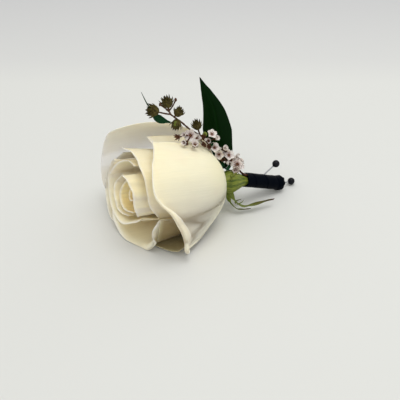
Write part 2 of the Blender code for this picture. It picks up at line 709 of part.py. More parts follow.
def build_wrap(material):
    """Ribbon wrap: near-solid sleeve with plain holes for the stems and the pins and a rounded tail."""
    along, side, third = wrap_axes()
    length = (WRAP_TAIL - WRAP_MOUTH).length
    r = WRAP_RADIUS
    c = WRAP_TAIL_ROUND
    profile = [(0.0, 0.0), (r - 0.5, 0.0), (r - 0.1, 0.4), (r - 0.05, length * 0.3), (r, length * 0.6),
               (r + 0.05, length - 3.0), (r + 0.05, length - c), (r - 0.3 * c, length - 0.3 * c),
               (r - c, length), (0.0, length)]
    place = frame_along(WRAP_MOUTH, along)
    wrap = turned("wrap_body", profile, 26, place, bpy.context.scene.collection)
    cutters = workshop("wrap_cutters")
    scene_group = cutters
    stem_start = WRAP_MOUTH + side * ROSE_STEM_OFFSET - along * 2.0
    stem_end = WRAP_MOUTH + side * ROSE_STEM_OFFSET + along * (ROSE_STEM_DEPTH + GAP)
    rod("stem_hole", stem_start, stem_end, 2.4 + GAP, 20, scene_group)
    for name in THIN_STEM_ANGLES:
        start = thin_stem_mouth(name) - along * 2.0
        rod(name + "_hole", start, thin_stem_tail(name) + along * GAP, THIN_STEM_RADIUS + GAP, 12, scene_group)
    head, outward = side_pin_axis()
    rod("side_pin_hole", side_pin_tip() - outward * 0.6, head, PIN_RADIUS + GAP, 12, scene_group)
    head, outward = end_pin_axis()
    rod("end_pin_hole", head - outward * (END_PIN_OUTSIDE + END_PIN_INSIDE + GAP), head, PIN_RADIUS + GAP, 12,
        scene_group)
    bm = bmesh.new()
    bmesh.ops.create_cube(bm, size=60.0)
    bmesh.ops.translate(bm, vec=(WRAP_TAIL.x, WRAP_TAIL.y, -30.0), verts=bm.verts)
    face_outwards(mesh_item("surface_cut", bm, scene_group))
    for item in cutters.objects:
        item.display_type = "WIRE"
        item.hide_render = True
    return finish(drill(wrap, cutters), "ribbon_wrap", material)


def build_pin(name, head, outward, length, shaft_material, head_material):
    """Pin: a straight shaft and a ball head with a blind hole for it."""
    scene_group = bpy.context.scene.collection
    tip = head - outward * length
    shaft = rod("shaft", tip, head + outward * (0.4 - GAP), PIN_RADIUS, 12, scene_group)
    finish(shaft, "pin_%s_shaft" % name, shaft_material)
    bm = bmesh.new()
    bmesh.ops.create_icosphere(bm, subdivisions=2, radius=PIN_HEAD_RADIUS)
    bmesh.ops.transform(bm, matrix=frame_along(head, outward), verts=bm.verts)
    ball = face_outwards(mesh_item("ball", bm, scene_group))
    cutters = workshop("ball_cutters")
    rod("ball_hole", head - outward * (PIN_HEAD_RADIUS + 1.0), head + outward * 0.4, PIN_RADIUS + GAP, 12,
        cutters)
    finish(drill(ball, cutters), "pin_%s_head" % name, head_material)


def drill_stem_for_pins(hip):
    """Give the rose stem the channel that the side pin is pushed into."""
    cutters = workshop("stem_cutters")
    head, outward = side_pin_axis()
    rod("pin_channel", side_pin_tip() - outward * GAP, head, PIN_RADIUS + GAP, 12, cutters)
    material = hip.data.materials[0]
    return finish(drill(hip, cutters), "rose_hip", material)


def centre_on_surface():
    """Move everything so that the middle of its footprint is at the origin and it touches z = 0."""
    corners = [vert.co for item in bpy.data.objects if item.type == "MESH" for vert in item.data.vertices]
    low = Vector([min(spot[axis] for spot in corners) for axis in range(3)])
    high = Vector([max(spot[axis] for spot in corners) for axis in range(3)])
    shift = Matrix.Translation((-(low.x + high.x) / 2.0, -(low.y + high.y) / 2.0, -low.z))
    for item in bpy.data.objects:
        item.data.transform(shift)


def main():
    """Build the boutonniere."""
    clear_scene()
    materials = {name: make_material(name) for name in COLOURS}
    build_bloom(materials["petal_cream"])
    hip = build_hip(materials["sepal_green"])
    build_leaf(materials["leaf_green"])
    build_bud_sprig(materials["bud_olive"])
    build_flower_sprig(materials["blossom_white"])
    build_wrap(materials["ribbon_navy"])
    drill_stem_for_pins(hip)
    head, outward = side_pin_axis()
    build_pin("side", head, outward, pin_length("side"), materials["pin_steel"], materials["pin_black"])
    head, outward = end_pin_axis()
    build_pin("end", head, outward, pin_length("end"), materials["pin_steel"], materials["pin_black"])
    centre_on_surface()


main()
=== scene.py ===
"""Visual model of a boutonniere: one cream rose, a backing leaf, two filler sprigs, a ribbon wrap and pins.

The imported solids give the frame: every piece is placed from the box of the end pin's head, rides on the root
body and stands for the solid that it replaces. Sizes are in millimetres and meshes are written in metres.
Directions round the bloom are azimuths: 0 upwards, 90 towards the front, 180 down to the surface and 270 to
the back.
"""

import logging
import math
import random
from dataclasses import dataclass, field
from enum import Enum
from typing import Any, Callable, Sequence

import bmesh
import bpy
from mathutils import Matrix, Vector, noise


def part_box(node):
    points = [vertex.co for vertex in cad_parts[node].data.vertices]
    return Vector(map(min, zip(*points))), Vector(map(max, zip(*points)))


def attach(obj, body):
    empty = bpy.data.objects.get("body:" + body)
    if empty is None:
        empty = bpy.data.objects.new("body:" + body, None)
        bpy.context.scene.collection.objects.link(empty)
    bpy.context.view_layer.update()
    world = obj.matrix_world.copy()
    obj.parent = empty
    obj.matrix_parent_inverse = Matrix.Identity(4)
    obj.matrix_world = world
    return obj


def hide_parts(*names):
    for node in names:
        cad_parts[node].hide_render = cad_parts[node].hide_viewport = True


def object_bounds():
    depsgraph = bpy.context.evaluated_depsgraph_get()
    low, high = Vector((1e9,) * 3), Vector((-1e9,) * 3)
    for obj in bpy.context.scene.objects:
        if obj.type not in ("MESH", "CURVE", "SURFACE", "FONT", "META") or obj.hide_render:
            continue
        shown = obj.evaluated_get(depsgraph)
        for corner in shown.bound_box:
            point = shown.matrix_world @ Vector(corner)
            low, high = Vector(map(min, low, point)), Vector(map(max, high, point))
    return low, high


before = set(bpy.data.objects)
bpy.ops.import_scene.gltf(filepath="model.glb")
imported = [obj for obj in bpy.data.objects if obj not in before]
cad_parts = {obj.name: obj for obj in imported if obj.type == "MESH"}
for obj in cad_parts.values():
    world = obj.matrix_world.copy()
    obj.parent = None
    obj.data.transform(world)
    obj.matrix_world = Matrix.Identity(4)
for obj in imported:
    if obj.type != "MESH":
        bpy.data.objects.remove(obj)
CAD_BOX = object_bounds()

LOG = logging.getLogger("boutonniere")
MM = 0.001
ROOT = "root"
UP = Vector((0.0, 0.0, 1.0))
ALONG_NO_STEM = Vector((0.28, -0.71, 0.64))
Colour = tuple[float, float, float]
Point = tuple[float, float, float]
Flat = tuple[float, float]
Profile = tuple[Flat, ...]
Table = tuple[float, ...]
Shape = Callable[[float, float], Vector]


# ---------------------------------------------------------------------------------------------------------
# Material graphs
# ---------------------------------------------------------------------------------------------------------


class Wire:
    """One changing value of a material; arithmetic on it adds Math nodes."""

    def __init__(self, graph: "Graph", socket: bpy.types.NodeSocket) -> None:
        """Wrap an output socket of a graph."""
        self.graph = graph
        self.socket = socket

    def maths(self, operation: str, first: "Wire | float", second: "Wire | float" = 0.0) -> "Wire":
        """Add a Math node.

        Args:
            operation: name of the Math node's operation.
            first: first value.
            second: second value, where the operation takes two.

        Returns:
            The node's result.
        """
        return self.graph.node("ShaderNodeMath", {"operation": operation}, {0: first, 1: second})

    def __add__(self, other: "Wire | float") -> "Wire":
        """Sum."""
        return self.maths("ADD", self, other)

    __radd__ = __add__

    def __sub__(self, other: "Wire | float") -> "Wire":
        """Difference."""
        return self.maths("SUBTRACT", self, other)

    def __rsub__(self, other: float) -> "Wire":
        """Difference from a number."""
        return self.maths("SUBTRACT", other, self)

    def __mul__(self, other: "Wire | float") -> "Wire":
        """Product."""
        return self.maths("MULTIPLY", self, other)

    __rmul__ = __mul__

    def __truediv__(self, other: "Wire | float") -> "Wire":
        """Quotient."""
        return self.maths("DIVIDE", self, other)

    def ramp(self, *stops: Flat) -> "Wire":
        """Remap the value piecewise.

        Args:
            stops: pairs of position and result, both from 0 to 1.

        Returns:
            The remapped value.
        """
        colours = [(place, (value, value, value)) for place, value in stops]
        return self.graph.node("ShaderNodeValToRGB", {"stops": colours}, {"Fac": self})


class Graph:
    """Node tree of one material, with a Principled shader that its finish fills in."""

    def __init__(self, name: str, **constants: Any) -> None:
        """Start a material.

        Args:
            name: name of the material.
            constants: fixed values of the shader's sockets, with _ for a space in a socket's name.
        """
        self.material = bpy.data.materials.new(name)
        self.material.use_nodes = True
        self.tree = self.material.node_tree
        self.shader = self.tree.nodes["Principled BSDF"]
        for key, value in constants.items():
            socket = self.shader.inputs[key.replace("_", " ")]
            socket.default_value = (*value, 1.0) if isinstance(value, tuple) and len(value) == 3 and \
                socket.type == "RGBA" else value
        self.material.diffuse_color = self.shader.inputs["Base Color"].default_value

    def node(self, kind: str, settings: dict[str, Any] | None = None,
             inputs: dict[int | str, Any] | None = None, output: int | str = 0) -> Wire:
        """Add any node.

        Args:
            kind: type of the node.
            settings: its properties, set first; "stops" holds a colour ramp's stops.
            inputs: values or wires of its sockets.
            output: the output to return.

        Returns:
            The chosen output.
        """
        item = self.tree.nodes.new(kind)
        for key, value in (settings or {}).items():
            if key == "stops":
                self.set_stops(item.color_ramp, value)
            else:
                setattr(item, key, value)
        for key, value in (inputs or {}).items():
            if isinstance(value, Wire):
                self.tree.links.new(value.socket, item.inputs[key])
            elif isinstance(value, tuple) and item.inputs[key].type == "RGBA":
                item.inputs[key].default_value = (*value, 1.0)
            else:
                item.inputs[key].default_value = value
        return Wire(self, item.outputs[output])

    @staticmethod
    def set_stops(ramp: bpy.types.ColorRamp, stops: Sequence[tuple[float, Colour]]) -> None:
        """Give a colour ramp its stops.

        Args:
            ramp: the ramp of a node.
            stops: pairs of position and colour.
        """
        while len(ramp.elements) < len(stops):
            ramp.elements.new(0.5)
        for element, (place, colour) in zip(ramp.elements, stops):
            element.position = place
            element.color = (*colour, 1.0)

    def mix(self, first: Colour | Wire, second: Colour | Wire, factor: Wire | float,
            blend: str = "MIX") -> Wire:
        """Mix two colours.

        Args:
            first: colour at factor 0.
            second: colour at factor 1.
            factor: how much of the second colour shows.
            blend: the Mix node's blend type.

        Returns:
            The mixed colour.
        """
        return self.node("ShaderNodeMix", {"data_type": "RGBA", "blend_type": blend, "clamp_factor": True},
                         {0: factor, 6: first, 7: second}, 2)

    def place(self) -> Wire:
        """Object coordinates."""
        return self.node("ShaderNodeTexCoord", output="Object")

    def chart(self) -> tuple[Wire, Wire, Wire]:
        """The piece's own map.

        Returns:
            The map as a vector, its first value and its second value.
        """
        vector = self.node("ShaderNodeUVMap", {"uv_map": "chart"})
        split = self.node("ShaderNodeSeparateXYZ", inputs={0: vector})
        return vector, split, Wire(self, split.socket.node.outputs["Y"])

    def tone(self) -> Wire:
        """Number from 0 to 1 that differs from one petal, leaf or bud to the next."""
        return self.node("ShaderNodeAttribute", {"attribute_name": "tone"}, output="Fac")

    def noise(self, vector: Wire, scale: float, detail: float = 3.0, stretch: Sequence[float] = (1, 1, 1),
              roughness: float = 0.5) -> Wire:
        """Noise over a vector.

        Args:
            vector: coordinates.
            scale: scale of the noise.
            detail: its octaves.
            stretch: factor on each coordinate before the noise.
            roughness: weight of the finer octaves.

        Returns:
            Noise from 0 to 1.
        """
        moved = self.node("ShaderNodeMapping", inputs={"Vector": vector, "Scale": tuple(stretch)})
        return self.node("ShaderNodeTexNoise", inputs={"Vector": moved, "Scale": scale, "Detail": detail,
                                                       "Roughness": roughness})

    def feed(self, **wires: Wire) -> None:
        """Link changing values to the shader's sockets."""
        for key, wire in wires.items():
            self.tree.links.new(wire.socket, self.shader.inputs[key.replace("_", " ")])

    def bump(self, height: Wire, distance: float, strength: float = 1.0) -> None:
        """Relief of a height from 0 to 1.

        Args:
            height: the relief.
            distance: its depth in millimetres.
            strength: how much of it shows.
        """
        relief = self.node("ShaderNodeBump", inputs={"Height": height, "Distance": distance * MM,
                                                     "Strength": strength})
        self.feed(Normal=relief)


@dataclass(frozen=True)
class PetalFinish:
    """Rose petal: cream, greener at the root, whiter and faintly pink at the rim, with fine upright veins."""

    name: str = "finish_petal"
    body: Colour = (0.95, 0.840, 0.610)
    root: Colour = (0.80, 0.74, 0.40)
    rim: Colour = (0.95, 0.88, 0.77)
    heart: Colour = (0.84, 0.64, 0.25)
    blush: Colour = (0.90, 0.66, 0.50)

    def make(self) -> bpy.types.Material:
        """Build the material.

        Returns:
            The material.
        """
        graph = Graph(self.name, Roughness=0.62, Subsurface_Weight=0.75, Subsurface_Scale=0.0008,
                      Subsurface_Radius=(1.0, 0.95, 0.90), Sheen_Weight=0.10, Sheen_Roughness=0.5,
                      Specular_IOR_Level=0.25)
        chart, _, along = graph.chart()
        tone = graph.tone()
        veins = graph.noise(chart, 1.0, 4.0, (90.0, 3.0, 1.0), 0.65)
        fine = graph.noise(chart, 1.0, 2.0, (210.0, 14.0, 1.0), 0.6)
        patches = graph.noise(graph.place(), 75.0, 2.0)
        colour = graph.mix(self.root, self.body, along.ramp((0.0, 0.0), (0.45, 1.0)))
        colour = graph.mix(colour, self.heart, tone.ramp((0.0, 0.0), (0.6, 0.18), (1.0, 0.8)))
        colour = graph.mix(colour, self.rim, along.ramp((0.90, 0.0), (0.985, 0.9)))
        colour = graph.mix(colour, self.blush, patches.ramp((0.56, 0.0), (0.80, 0.22)))
        shade = veins * 0.10 + fine * 0.05 + 0.92
        grey = graph.node("ShaderNodeCombineColor", inputs={0: shade, 1: shade, 2: shade * 0.985})
        graph.feed(Base_Color=graph.mix(colour, grey, 1.0, "MULTIPLY"), Roughness=veins * 0.16 + 0.52)
        graph.bump(veins * 0.7 + fine * 0.3, 0.22, 0.55)
        return graph.material


@dataclass(frozen=True)
class HipFinish:
    """Rose hip and sepals: fresh yellow-green with darker streaks, turning purple-brown at the tips."""

    name: str = "finish_hip"
    light: Colour = (0.24, 0.27, 0.035)
    dark: Colour = (0.040, 0.075, 0.008)
    tip: Colour = (0.055, 0.018, 0.016)

    def make(self) -> bpy.types.Material:
        """Build the material.

        Returns:
            The material.
        """
        graph = Graph(self.name, Roughness=0.45, Subsurface_Weight=0.12, Subsurface_Scale=0.002,
                      Subsurface_Radius=(0.6, 1.0, 0.3), Specular_IOR_Level=0.25)
        chart, _, along = graph.chart()
        streaks = graph.noise(chart, 1.0, 3.0, (26.0, 2.5, 1.0), 0.6)
        mottle = graph.noise(graph.place(), 420.0, 3.0)
        mask = streaks.ramp((0.38, 0.0), (0.62, 1.0))
        colour = graph.mix(self.dark, self.light, mask * 0.75 + mottle * 0.25)
        colour = graph.mix(colour, self.tip, graph.tone() * along.ramp((0.35, 0.0), (0.95, 1.0)))
        graph.feed(Base_Color=colour, Roughness=mottle * 0.25 + 0.35)
        graph.bump(streaks * 0.6 + mottle * 0.4, 0.25, 0.6)
        return graph.material


@dataclass(frozen=True)
class LeafFinish:
    """Waxy leaf: very dark green with a paler midrib, fine side veins and a soft gloss."""

    name: str = "finish_leaf"
    blade: Colour = (0.0005, 0.0110, 0.0004)
    pale: Colour = (0.0012, 0.0190, 0.0010)
    rib: Colour = (0.0022, 0.0230, 0.0016)
    gloss: float = 0.38
    veins: float = 95.0
    vein_slant: float = 26.0

    def make(self) -> bpy.types.Material:
        """Build the material.

        Returns:
            The material.
        """
        graph = Graph(self.name, Roughness=self.gloss, Specular_IOR_Level=0.06)
        _, across, along = graph.chart()
        side = graph.node("ShaderNodeMath", {"operation": "ABSOLUTE"}, {0: across - 0.5}) * 2.0
        rows = (along * self.veins) - (side * self.vein_slant)
        lines = graph.node("ShaderNodeMath", {"operation": "SINE"}, {0: rows})
        lines = lines.ramp((0.80, 0.0), (1.0, 1.0))
        mottle = graph.noise(graph.place(), 260.0, 4.0)
        rib = side.ramp((0.0, 1.0), (0.10, 0.0))
        colour = graph.mix(self.blade, self.pale, mottle * 0.5 + lines * 0.22)
        colour = graph.mix(colour, self.rib, rib * 0.7)
        graph.feed(Base_Color=colour, Roughness=mottle * 0.2 + (self.gloss - 0.08))
        graph.bump(mottle * 0.35 + lines * 0.35 + rib * 0.3, 0.18, 0.5)
        return graph.material


@dataclass(frozen=True)
class BarkFinish:
    """Dry twig and bud scales: two browns mixed along the fibres, with a ridged surface."""

    name: str
    dark: Colour
    light: Colour
    tip: Colour
    fibres: float = 30.0

    def make(self) -> bpy.types.Material:
        """Build the material.

        Returns:
            The material.
        """
        graph = Graph(self.name, Roughness=0.7, Specular_IOR_Level=0.15)
        chart, _, along = graph.chart()
        streaks = graph.noise(chart, 1.0, 3.0, (self.fibres, 3.0, 1.0), 0.65)
        mottle = graph.noise(graph.place(), 700.0, 3.0)
        ridges = streaks * 0.6 + mottle * 0.4
        colour = graph.mix(self.dark, self.light, ridges.ramp((0.36, 0.0), (0.62, 1.0)))
        colour = graph.mix(colour, self.light, graph.tone() * 0.35)
        colour = graph.mix(colour, self.tip, along.ramp((0.72, 0.0), (1.0, 0.9)))
        graph.feed(Base_Color=colour, Roughness=mottle * 0.3 + 0.55)
        graph.bump(streaks, 0.2, 0.8)
        return graph.material


@dataclass(frozen=True)
class BlossomFinish:
    """Small filler petals: white with a rosy flush towards the middle and faint veins."""

    name: str = "finish_blossom"
    rim: Colour = (0.90, 0.84, 0.80)
    flush: Colour = (0.66, 0.45, 0.43)
    shade: Colour = (0.82, 0.76, 0.66)

    def make(self) -> bpy.types.Material:
        """Build the material.

        Returns:
            The material.
        """
        graph = Graph(self.name, Roughness=0.6, Subsurface_Weight=0.25, Subsurface_Scale=0.0015,
                      Subsurface_Radius=(1.0, 0.7, 0.6), Sheen_Weight=0.2)
        chart, _, along = graph.chart()
        veins = graph.noise(chart, 1.0, 2.0, (22.0, 2.0, 1.0), 0.6)
        patches = graph.noise(graph.place(), 500.0, 2.0)
        colour = graph.mix(self.rim, self.shade, graph.tone() * 0.7)
        colour = graph.mix(self.flush, colour, along.ramp((0.12, 0.0), (0.55, 1.0)))
        colour = graph.mix(colour, self.flush, (patches * veins).ramp((0.26, 0.0), (0.46, 0.5)))
        graph.feed(Base_Color=colour)
        graph.bump(veins, 0.12, 0.6)
        return graph.material


@dataclass(frozen=True)
class RibbonFinish:
    """Satin ribbon: navy-black, with a fine weave across the band and lighter streaks of painted highlight."""

    name: str = "finish_ribbon"
    base: Colour = (0.0005, 0.0013, 0.0034)
    painted_sheen: Colour = (0.0012, 0.0026, 0.0064)

    def make(self) -> bpy.types.Material:
        """Build the material.

        Returns:
            The material.
        """
        graph = Graph(self.name, Roughness=0.34, Specular_IOR_Level=0.02)
        chart, _, _ = graph.chart()
        weft = graph.node("ShaderNodeTexWave", {"wave_type": "BANDS", "bands_direction": "Y"},
                          {"Vector": chart, "Scale": 70.0, "Distortion": 0.6, "Detail": 1.0})
        slub = graph.noise(chart, 1.0, 3.0, (6.0, 60.0, 1.0), 0.6)
        folds = graph.noise(graph.place(), 230.0, 3.0)
        # Lighter streaks laid along the weave and the slubs are painted sheen, a highlight in the base colour.
        colour = graph.mix(self.base, self.painted_sheen, slub * 0.6 + weft * 0.25)
        graph.feed(Base_Color=colour, Roughness=slub * 0.18 + folds * 0.1 + 0.26)
        graph.bump(weft * 0.25 + slub * 0.3 + folds * 0.45, 0.16, 0.5)
        return graph.material


@dataclass(frozen=True)
class GlossFinish:
    """Moulded or drawn surface with the faintest unevenness: a pin's ball head, or its steel shaft."""

    name: str
    colour: Colour
    roughness: float
    metal: float = 0.0
    scratches: float = 0.02
    specular: float = 0.12
    coat: float = 0.03

    def make(self) -> bpy.types.Material:
        """Build the material.

        Returns:
            The material.
        """
        graph = Graph(self.name, Base_Color=self.colour, Metallic=self.metal,
                      Specular_IOR_Level=self.specular, Coat_Weight=self.coat * (1 - self.metal))
        marks = graph.noise(graph.place(), 900.0, 3.0)
        graph.feed(Roughness=marks * 0.12 + self.roughness)
        graph.bump(marks, self.scratches, 0.5)
        return graph.material


@dataclass(frozen=True)
class FloorFinish:
    """Plain pale floor, with painted shade that makes it a little greyer far behind the object, in place of a
    dimmer backdrop.
    """

    name: str = "finish_floor"
    colour: Colour = (0.665, 0.67, 0.645)
    far_painted_shade: Colour = (0.545, 0.545, 0.555)
    near_edge: float = 0.13
    far_edge: float = 0.33
    heading: float = -22.0
    cloud_lift: float = 1.02

    def make(self) -> bpy.types.Material:
        """Build the material.

        Returns:
            The material.
        """
        graph = Graph(self.name, Roughness=0.7, Specular_IOR_Level=0.2)
        place = graph.place()
        cloud = graph.noise(place, 6.0, 2.0)
        turn = math.radians(self.heading)
        away = graph.node("ShaderNodeVectorMath", {"operation": "DOT_PRODUCT"},
                          {0: place, 1: (-math.sin(turn), math.cos(turn), 0.0)}, "Value")
        far = (away - self.near_edge) / (self.far_edge - self.near_edge)
        lighter = tuple(min(1.0, part * self.cloud_lift) for part in self.colour)
        near = graph.mix(self.colour, lighter, cloud)
        # Greying with distance behind the object is painted shade of a dimmer backdrop.
        fading = far.ramp((0.0, 0.0), (0.18, 0.35), (1.0, 1.0))
        graph.feed(Base_Color=graph.mix(near, self.far_painted_shade, fading))
        return graph.material


class Finish(Enum):
    """Every finish of the boutonniere."""

    PETAL = PetalFinish()
    # Olive-brown copy of the petal finish: painted shade for the dim hollow under the bloom, laid on the two
    # guard petals there.
    GUARD = PetalFinish("finish_guard_petal_painted_shade", body=(0.36, 0.30, 0.15), root=(0.16, 0.12, 0.05),
                        rim=(0.44, 0.39, 0.23), heart=(0.24, 0.165, 0.065))
    # Paler copy of the petal finish: painted light on the back petal, standing in for light that shines
    # through it.
    BACK = PetalFinish("finish_back_petal_painted_light", body=(0.98, 0.92, 0.78), root=(0.90, 0.85, 0.64),
                       rim=(0.98, 0.93, 0.84))
    HIP = HipFinish()
    LEAF = LeafFinish()
    SMALL_LEAF = LeafFinish("finish_small_leaf", blade=(0.004, 0.030, 0.009), pale=(0.010, 0.060, 0.020),
                            rib=(0.015, 0.07, 0.02))
    TWIG = BarkFinish("finish_twig", dark=(0.045, 0.018, 0.012), light=(0.12, 0.055, 0.030),
                      tip=(0.10, 0.05, 0.03))
    BUD = BarkFinish("finish_bud", dark=(0.024, 0.014, 0.006), light=(0.105, 0.085, 0.018),
                     tip=(0.028, 0.011, 0.006))
    CALYX = BarkFinish("finish_calyx", dark=(0.060, 0.022, 0.014), light=(0.16, 0.070, 0.035),
                       tip=(0.20, 0.10, 0.05))
    BLOSSOM = BlossomFinish()
    RIBBON = RibbonFinish()
    STEEL = GlossFinish("finish_pin_steel", (0.42, 0.43, 0.45), 0.20, 1.0)
    HEAD = GlossFinish("finish_pin_head", (0.006, 0.006, 0.009), 0.10)
    FLOOR = FloorFinish()

    def material(self) -> bpy.types.Material:
        """The finish's material, built the first time it is asked for."""
        return bpy.data.materials.get(self.value.name) or self.value.make()


# ---------------------------------------------------------------------------------------------------------
# Curves, frames and pieces
# ---------------------------------------------------------------------------------------------------------

# Distance that closes a seam; clearances over the surface, and how softly a blade is pressed up to them.
WELD = 1e-5
SURFACE_CLEARANCE = 0.55
BLADE_CLEARANCE = 0.40
SURFACE_SOFTNESS = 1.6

# Power that lifts the edges of a blade, width of a scale's tip, steps that measure a curve, step that
# measures a slope, and how fast the unevenness of small bodies and of stems changes.
EDGE_RISE = 1.6
SCALE_TIP = 0.05
CURVE_STEPS = 40
PROBE = 0.01
WOBBLE_SCALE = 2.3
KNOT_SCALE = 0.9


def smooth(low: float, high: float, value: float) -> float:
    """Smooth step from 0 at low to 1 at high."""
    t = min(1.0, max(0.0, (value - low) / (high - low)))
    return t * t * (3.0 - 2.0 * t)


def through(near: Sequence[Any], s: float) -> Any:
    """Value or vector between the middle two of four neighbours on a smooth line.

    Args:
        near: the four neighbours.
        s: place between the middle two.

    Returns:
        The value or the vector.
    """
    a, b, c, d = near
    return 0.5 * (2.0 * b + (c - a) * s + (2.0 * a - 5.0 * b + 4.0 * c - d) * s * s
                  + (3.0 * b - a - 3.0 * c + d) * s ** 3)


def along_table(values: Sequence[float], position: float) -> float:
    """Value at a position from 0 to 1 on the smooth line through evenly spaced values.

    Args:
        values: the values.
        position: place on the line.

    Returns:
        The value there.
    """
    reach = min(max(position, 0.0), 1.0) * (len(values) - 1)
    index = min(int(reach), len(values) - 2)
    near = [values[min(max(index + step, 0), len(values) - 1)] for step in (-1, 0, 1, 2)]
    return through(near, reach - index)


def along_lines(values: Sequence[float], position: float) -> float:
    """Value at a position from 0 to 1 on the straight lines through evenly spaced values.

    Args:
        values: the values.
        position: place on the lines.

    Returns:
        The value there.
    """
    reach = min(max(position, 0.0), 1.0) * (len(values) - 1)
    index = min(int(reach), len(values) - 2)
    return values[index] + (values[index + 1] - values[index]) * (reach - index)


def scaled(profile: Sequence[Flat], size: float) -> list[Flat]:
    """Side profile in units of a radius, brought to millimetres."""
    return [(radius * size, height * size) for radius, height in profile]


def spoke(turn: float) -> Vector:
    """Direction in the local XY plane at an angle."""
    return Vector((math.cos(turn), math.sin(turn), 0.0))


def bezier(points: Sequence[Flat], t: float) -> Flat:
    """Point of a flat cubic Bezier curve.

    Args:
        points: the four points of the curve.
        t: place on it, from 0 to 1.

    Returns:
        The point there.
    """
    k = 1.0 - t
    weights = (k ** 3, 3.0 * k * k * t, 3.0 * k * t * t, t ** 3)
    return tuple(sum(w * point[axis] for w, point in zip(weights, points)) for axis in (0, 1))


def above_surface(height: float, clearance: float = SURFACE_CLEARANCE) -> float:
    """Height pressed up softly, so that a blade that would sink into the surface lies on it.

    Args:
        height: height of a point over the surface.
        clearance: the least height that is left.

    Returns:
        The height of the point on the pressed blade.
    """
    start = clearance + SURFACE_SOFTNESS
    if height >= start:
        return height
    return clearance + SURFACE_SOFTNESS * math.exp((height - start) / SURFACE_SOFTNESS)


def frame_along(origin: Sequence[float], direction: Sequence[float], turn: float = 0.0) -> Matrix:
    """Matrix whose local Z axis runs along a direction.

    Args:
        origin: where the local origin goes.
        direction: where the local Z axis points.
        turn: angle about that axis in degrees.

    Returns:
        The matrix.
    """
    z_axis = Vector(direction).normalized()
    x_axis = UP.cross(z_axis)
    if x_axis.length < 1e-4:
        x_axis = Vector((1.0, 0.0, 0.0))
    x_axis.normalize()
    matrix = Matrix((x_axis, z_axis.cross(x_axis), z_axis)).transposed().to_4x4()
    matrix.translation = Vector(origin)
    return matrix @ Matrix.Rotation(math.radians(turn), 4, "Z")


class Path:
    """Smooth line through points."""

    def __init__(self, *points: Sequence[float]) -> None:
        """Take the points that the line runs through.

        Args:
            points: the points, in order.
        """
        anchors = [Vector(point) for point in points]
        self.anchors = [anchors[0] * 2.0 - anchors[1], *anchors, anchors[-1] * 2.0 - anchors[-2]]
        self.spans = len(anchors) - 1

    def at(self, t: float) -> Vector:
        """Point on the line, from 0 at the start to 1 at the end.

        Args:
            t: place on the line.

        Returns:
            The point there.
        """
        reach = min(max(t, 0.0), 1.0) * self.spans
        index = min(int(reach), self.spans - 1)
        return through(self.anchors[index:index + 4], reach - index)

    def heading(self, t: float) -> Vector:
        """Direction of the line at t."""
        return (self.at(t + PROBE) - self.at(t - PROBE)).normalized()


@dataclass(frozen=True)
class Design:
    """Lengths and places that the sub-assemblies share, in the design's own millimetres."""

    mouth: Vector = Vector((10.5, 0.5, 14.8))
    tail: Vector = Vector((35.0, 3.6, 2.95))
    wrap_radius: float = 3.85
    stem_offset: float = 2.75
    stem_inside: float = 4.0
    stem_outside: float = 1.0
    stems_towards: Vector = Vector((0.0, 0.55, 0.83))
    end_pin_outside: float = 5.8
    end_pin_rise: float = 0.30
    end_pin_length: float = 15.3
    side_head: Vector = Vector((30.1, 4.0, 16.8))
    side_pin_length: float = 16.8
    side_pin_at: float = 13.6
    side_pin_entry: Vector = Vector((0.0, 0.3, 0.9))
    bloom_base: Vector = Vector((0.0, 0.0, 16.5))
    bloom_pitch: float = 9.5

    def along(self) -> Vector:
        """Direction from the wrap's mouth to its tail."""
        return (self.tail - self.mouth).normalized()

    def side(self) -> Vector:
        """Direction from the wrap's axis to the thin stems."""
        return (self.stems_towards - self.along() * self.stems_towards.dot(self.along())).normalized()

    def thin_stem(self, angle: float) -> Vector:
        """Where a thin stem enters the wrap.

        Args:
            angle: angle round the wrap's axis in degrees.

        Returns:
            The place in the wrap's mouth.
        """
        turn = math.radians(angle)
        third = self.along().cross(self.side())
        return self.mouth + self.stem_offset * (self.side() * math.cos(turn) + third * math.sin(turn))

    def stem_start(self, angle: float) -> list[Vector]:
        """First points of a thin stem: inside the wrap, in its mouth and just outside it."""
        mouth = self.thin_stem(angle)
        return [mouth + self.along() * self.stem_inside, mouth, mouth - self.along() * self.stem_outside]

    def end_pin(self) -> tuple[Vector, Vector]:
        """Centre of the end pin's head and its direction outwards."""
        outward = (self.along() + UP * self.end_pin_rise).normalized()
        return self.tail + outward * self.end_pin_outside, outward

    def bloom(self) -> Matrix:
        """Matrix from the bloom's axes (up, front, along the flower) to the design's.

        Returns:
            The matrix.
        """
        pitch = math.radians(self.bloom_pitch)
        up = Vector((math.sin(pitch), 0.0, math.cos(pitch)))
        axis = Vector((-math.cos(pitch), 0.0, math.sin(pitch)))
        matrix = Matrix((up, Vector((0.0, -1.0, 0.0)), axis)).transposed().to_4x4()
        matrix.translation = self.bloom_base
        return matrix

    def placing(self) -> Matrix:
        """Matrix from the design's millimetres to the frame's metres, read from the end pin's head.

        Returns:
            The matrix.
        """
        low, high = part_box("pin_end_head")
        shift = (low + high) / 2.0 - self.end_pin()[0] * MM
        return Matrix.Translation(shift) @ Matrix.Scale(MM, 4)


DESIGN = Design()


def to_mesh(name: str, bm: bmesh.types.BMesh) -> bpy.types.Mesh:
    """Turn a bmesh into a mesh and free it.

    Args:
        name: name of the mesh.
        bm: the bmesh.

    Returns:
        The mesh.
    """
    mesh = bpy.data.meshes.new(name)
    bm.to_mesh(mesh)
    bm.free()
    return mesh


def in_scene(name: str, data: bpy.types.ID) -> bpy.types.Object:
    """Put a mesh, a lamp or a camera in the scene.

    Args:
        name: name of the object.
        data: what the object shows.

    Returns:
        The object.
    """
    item = bpy.data.objects.new(name, data)
    bpy.context.scene.collection.objects.link(item)
    return item


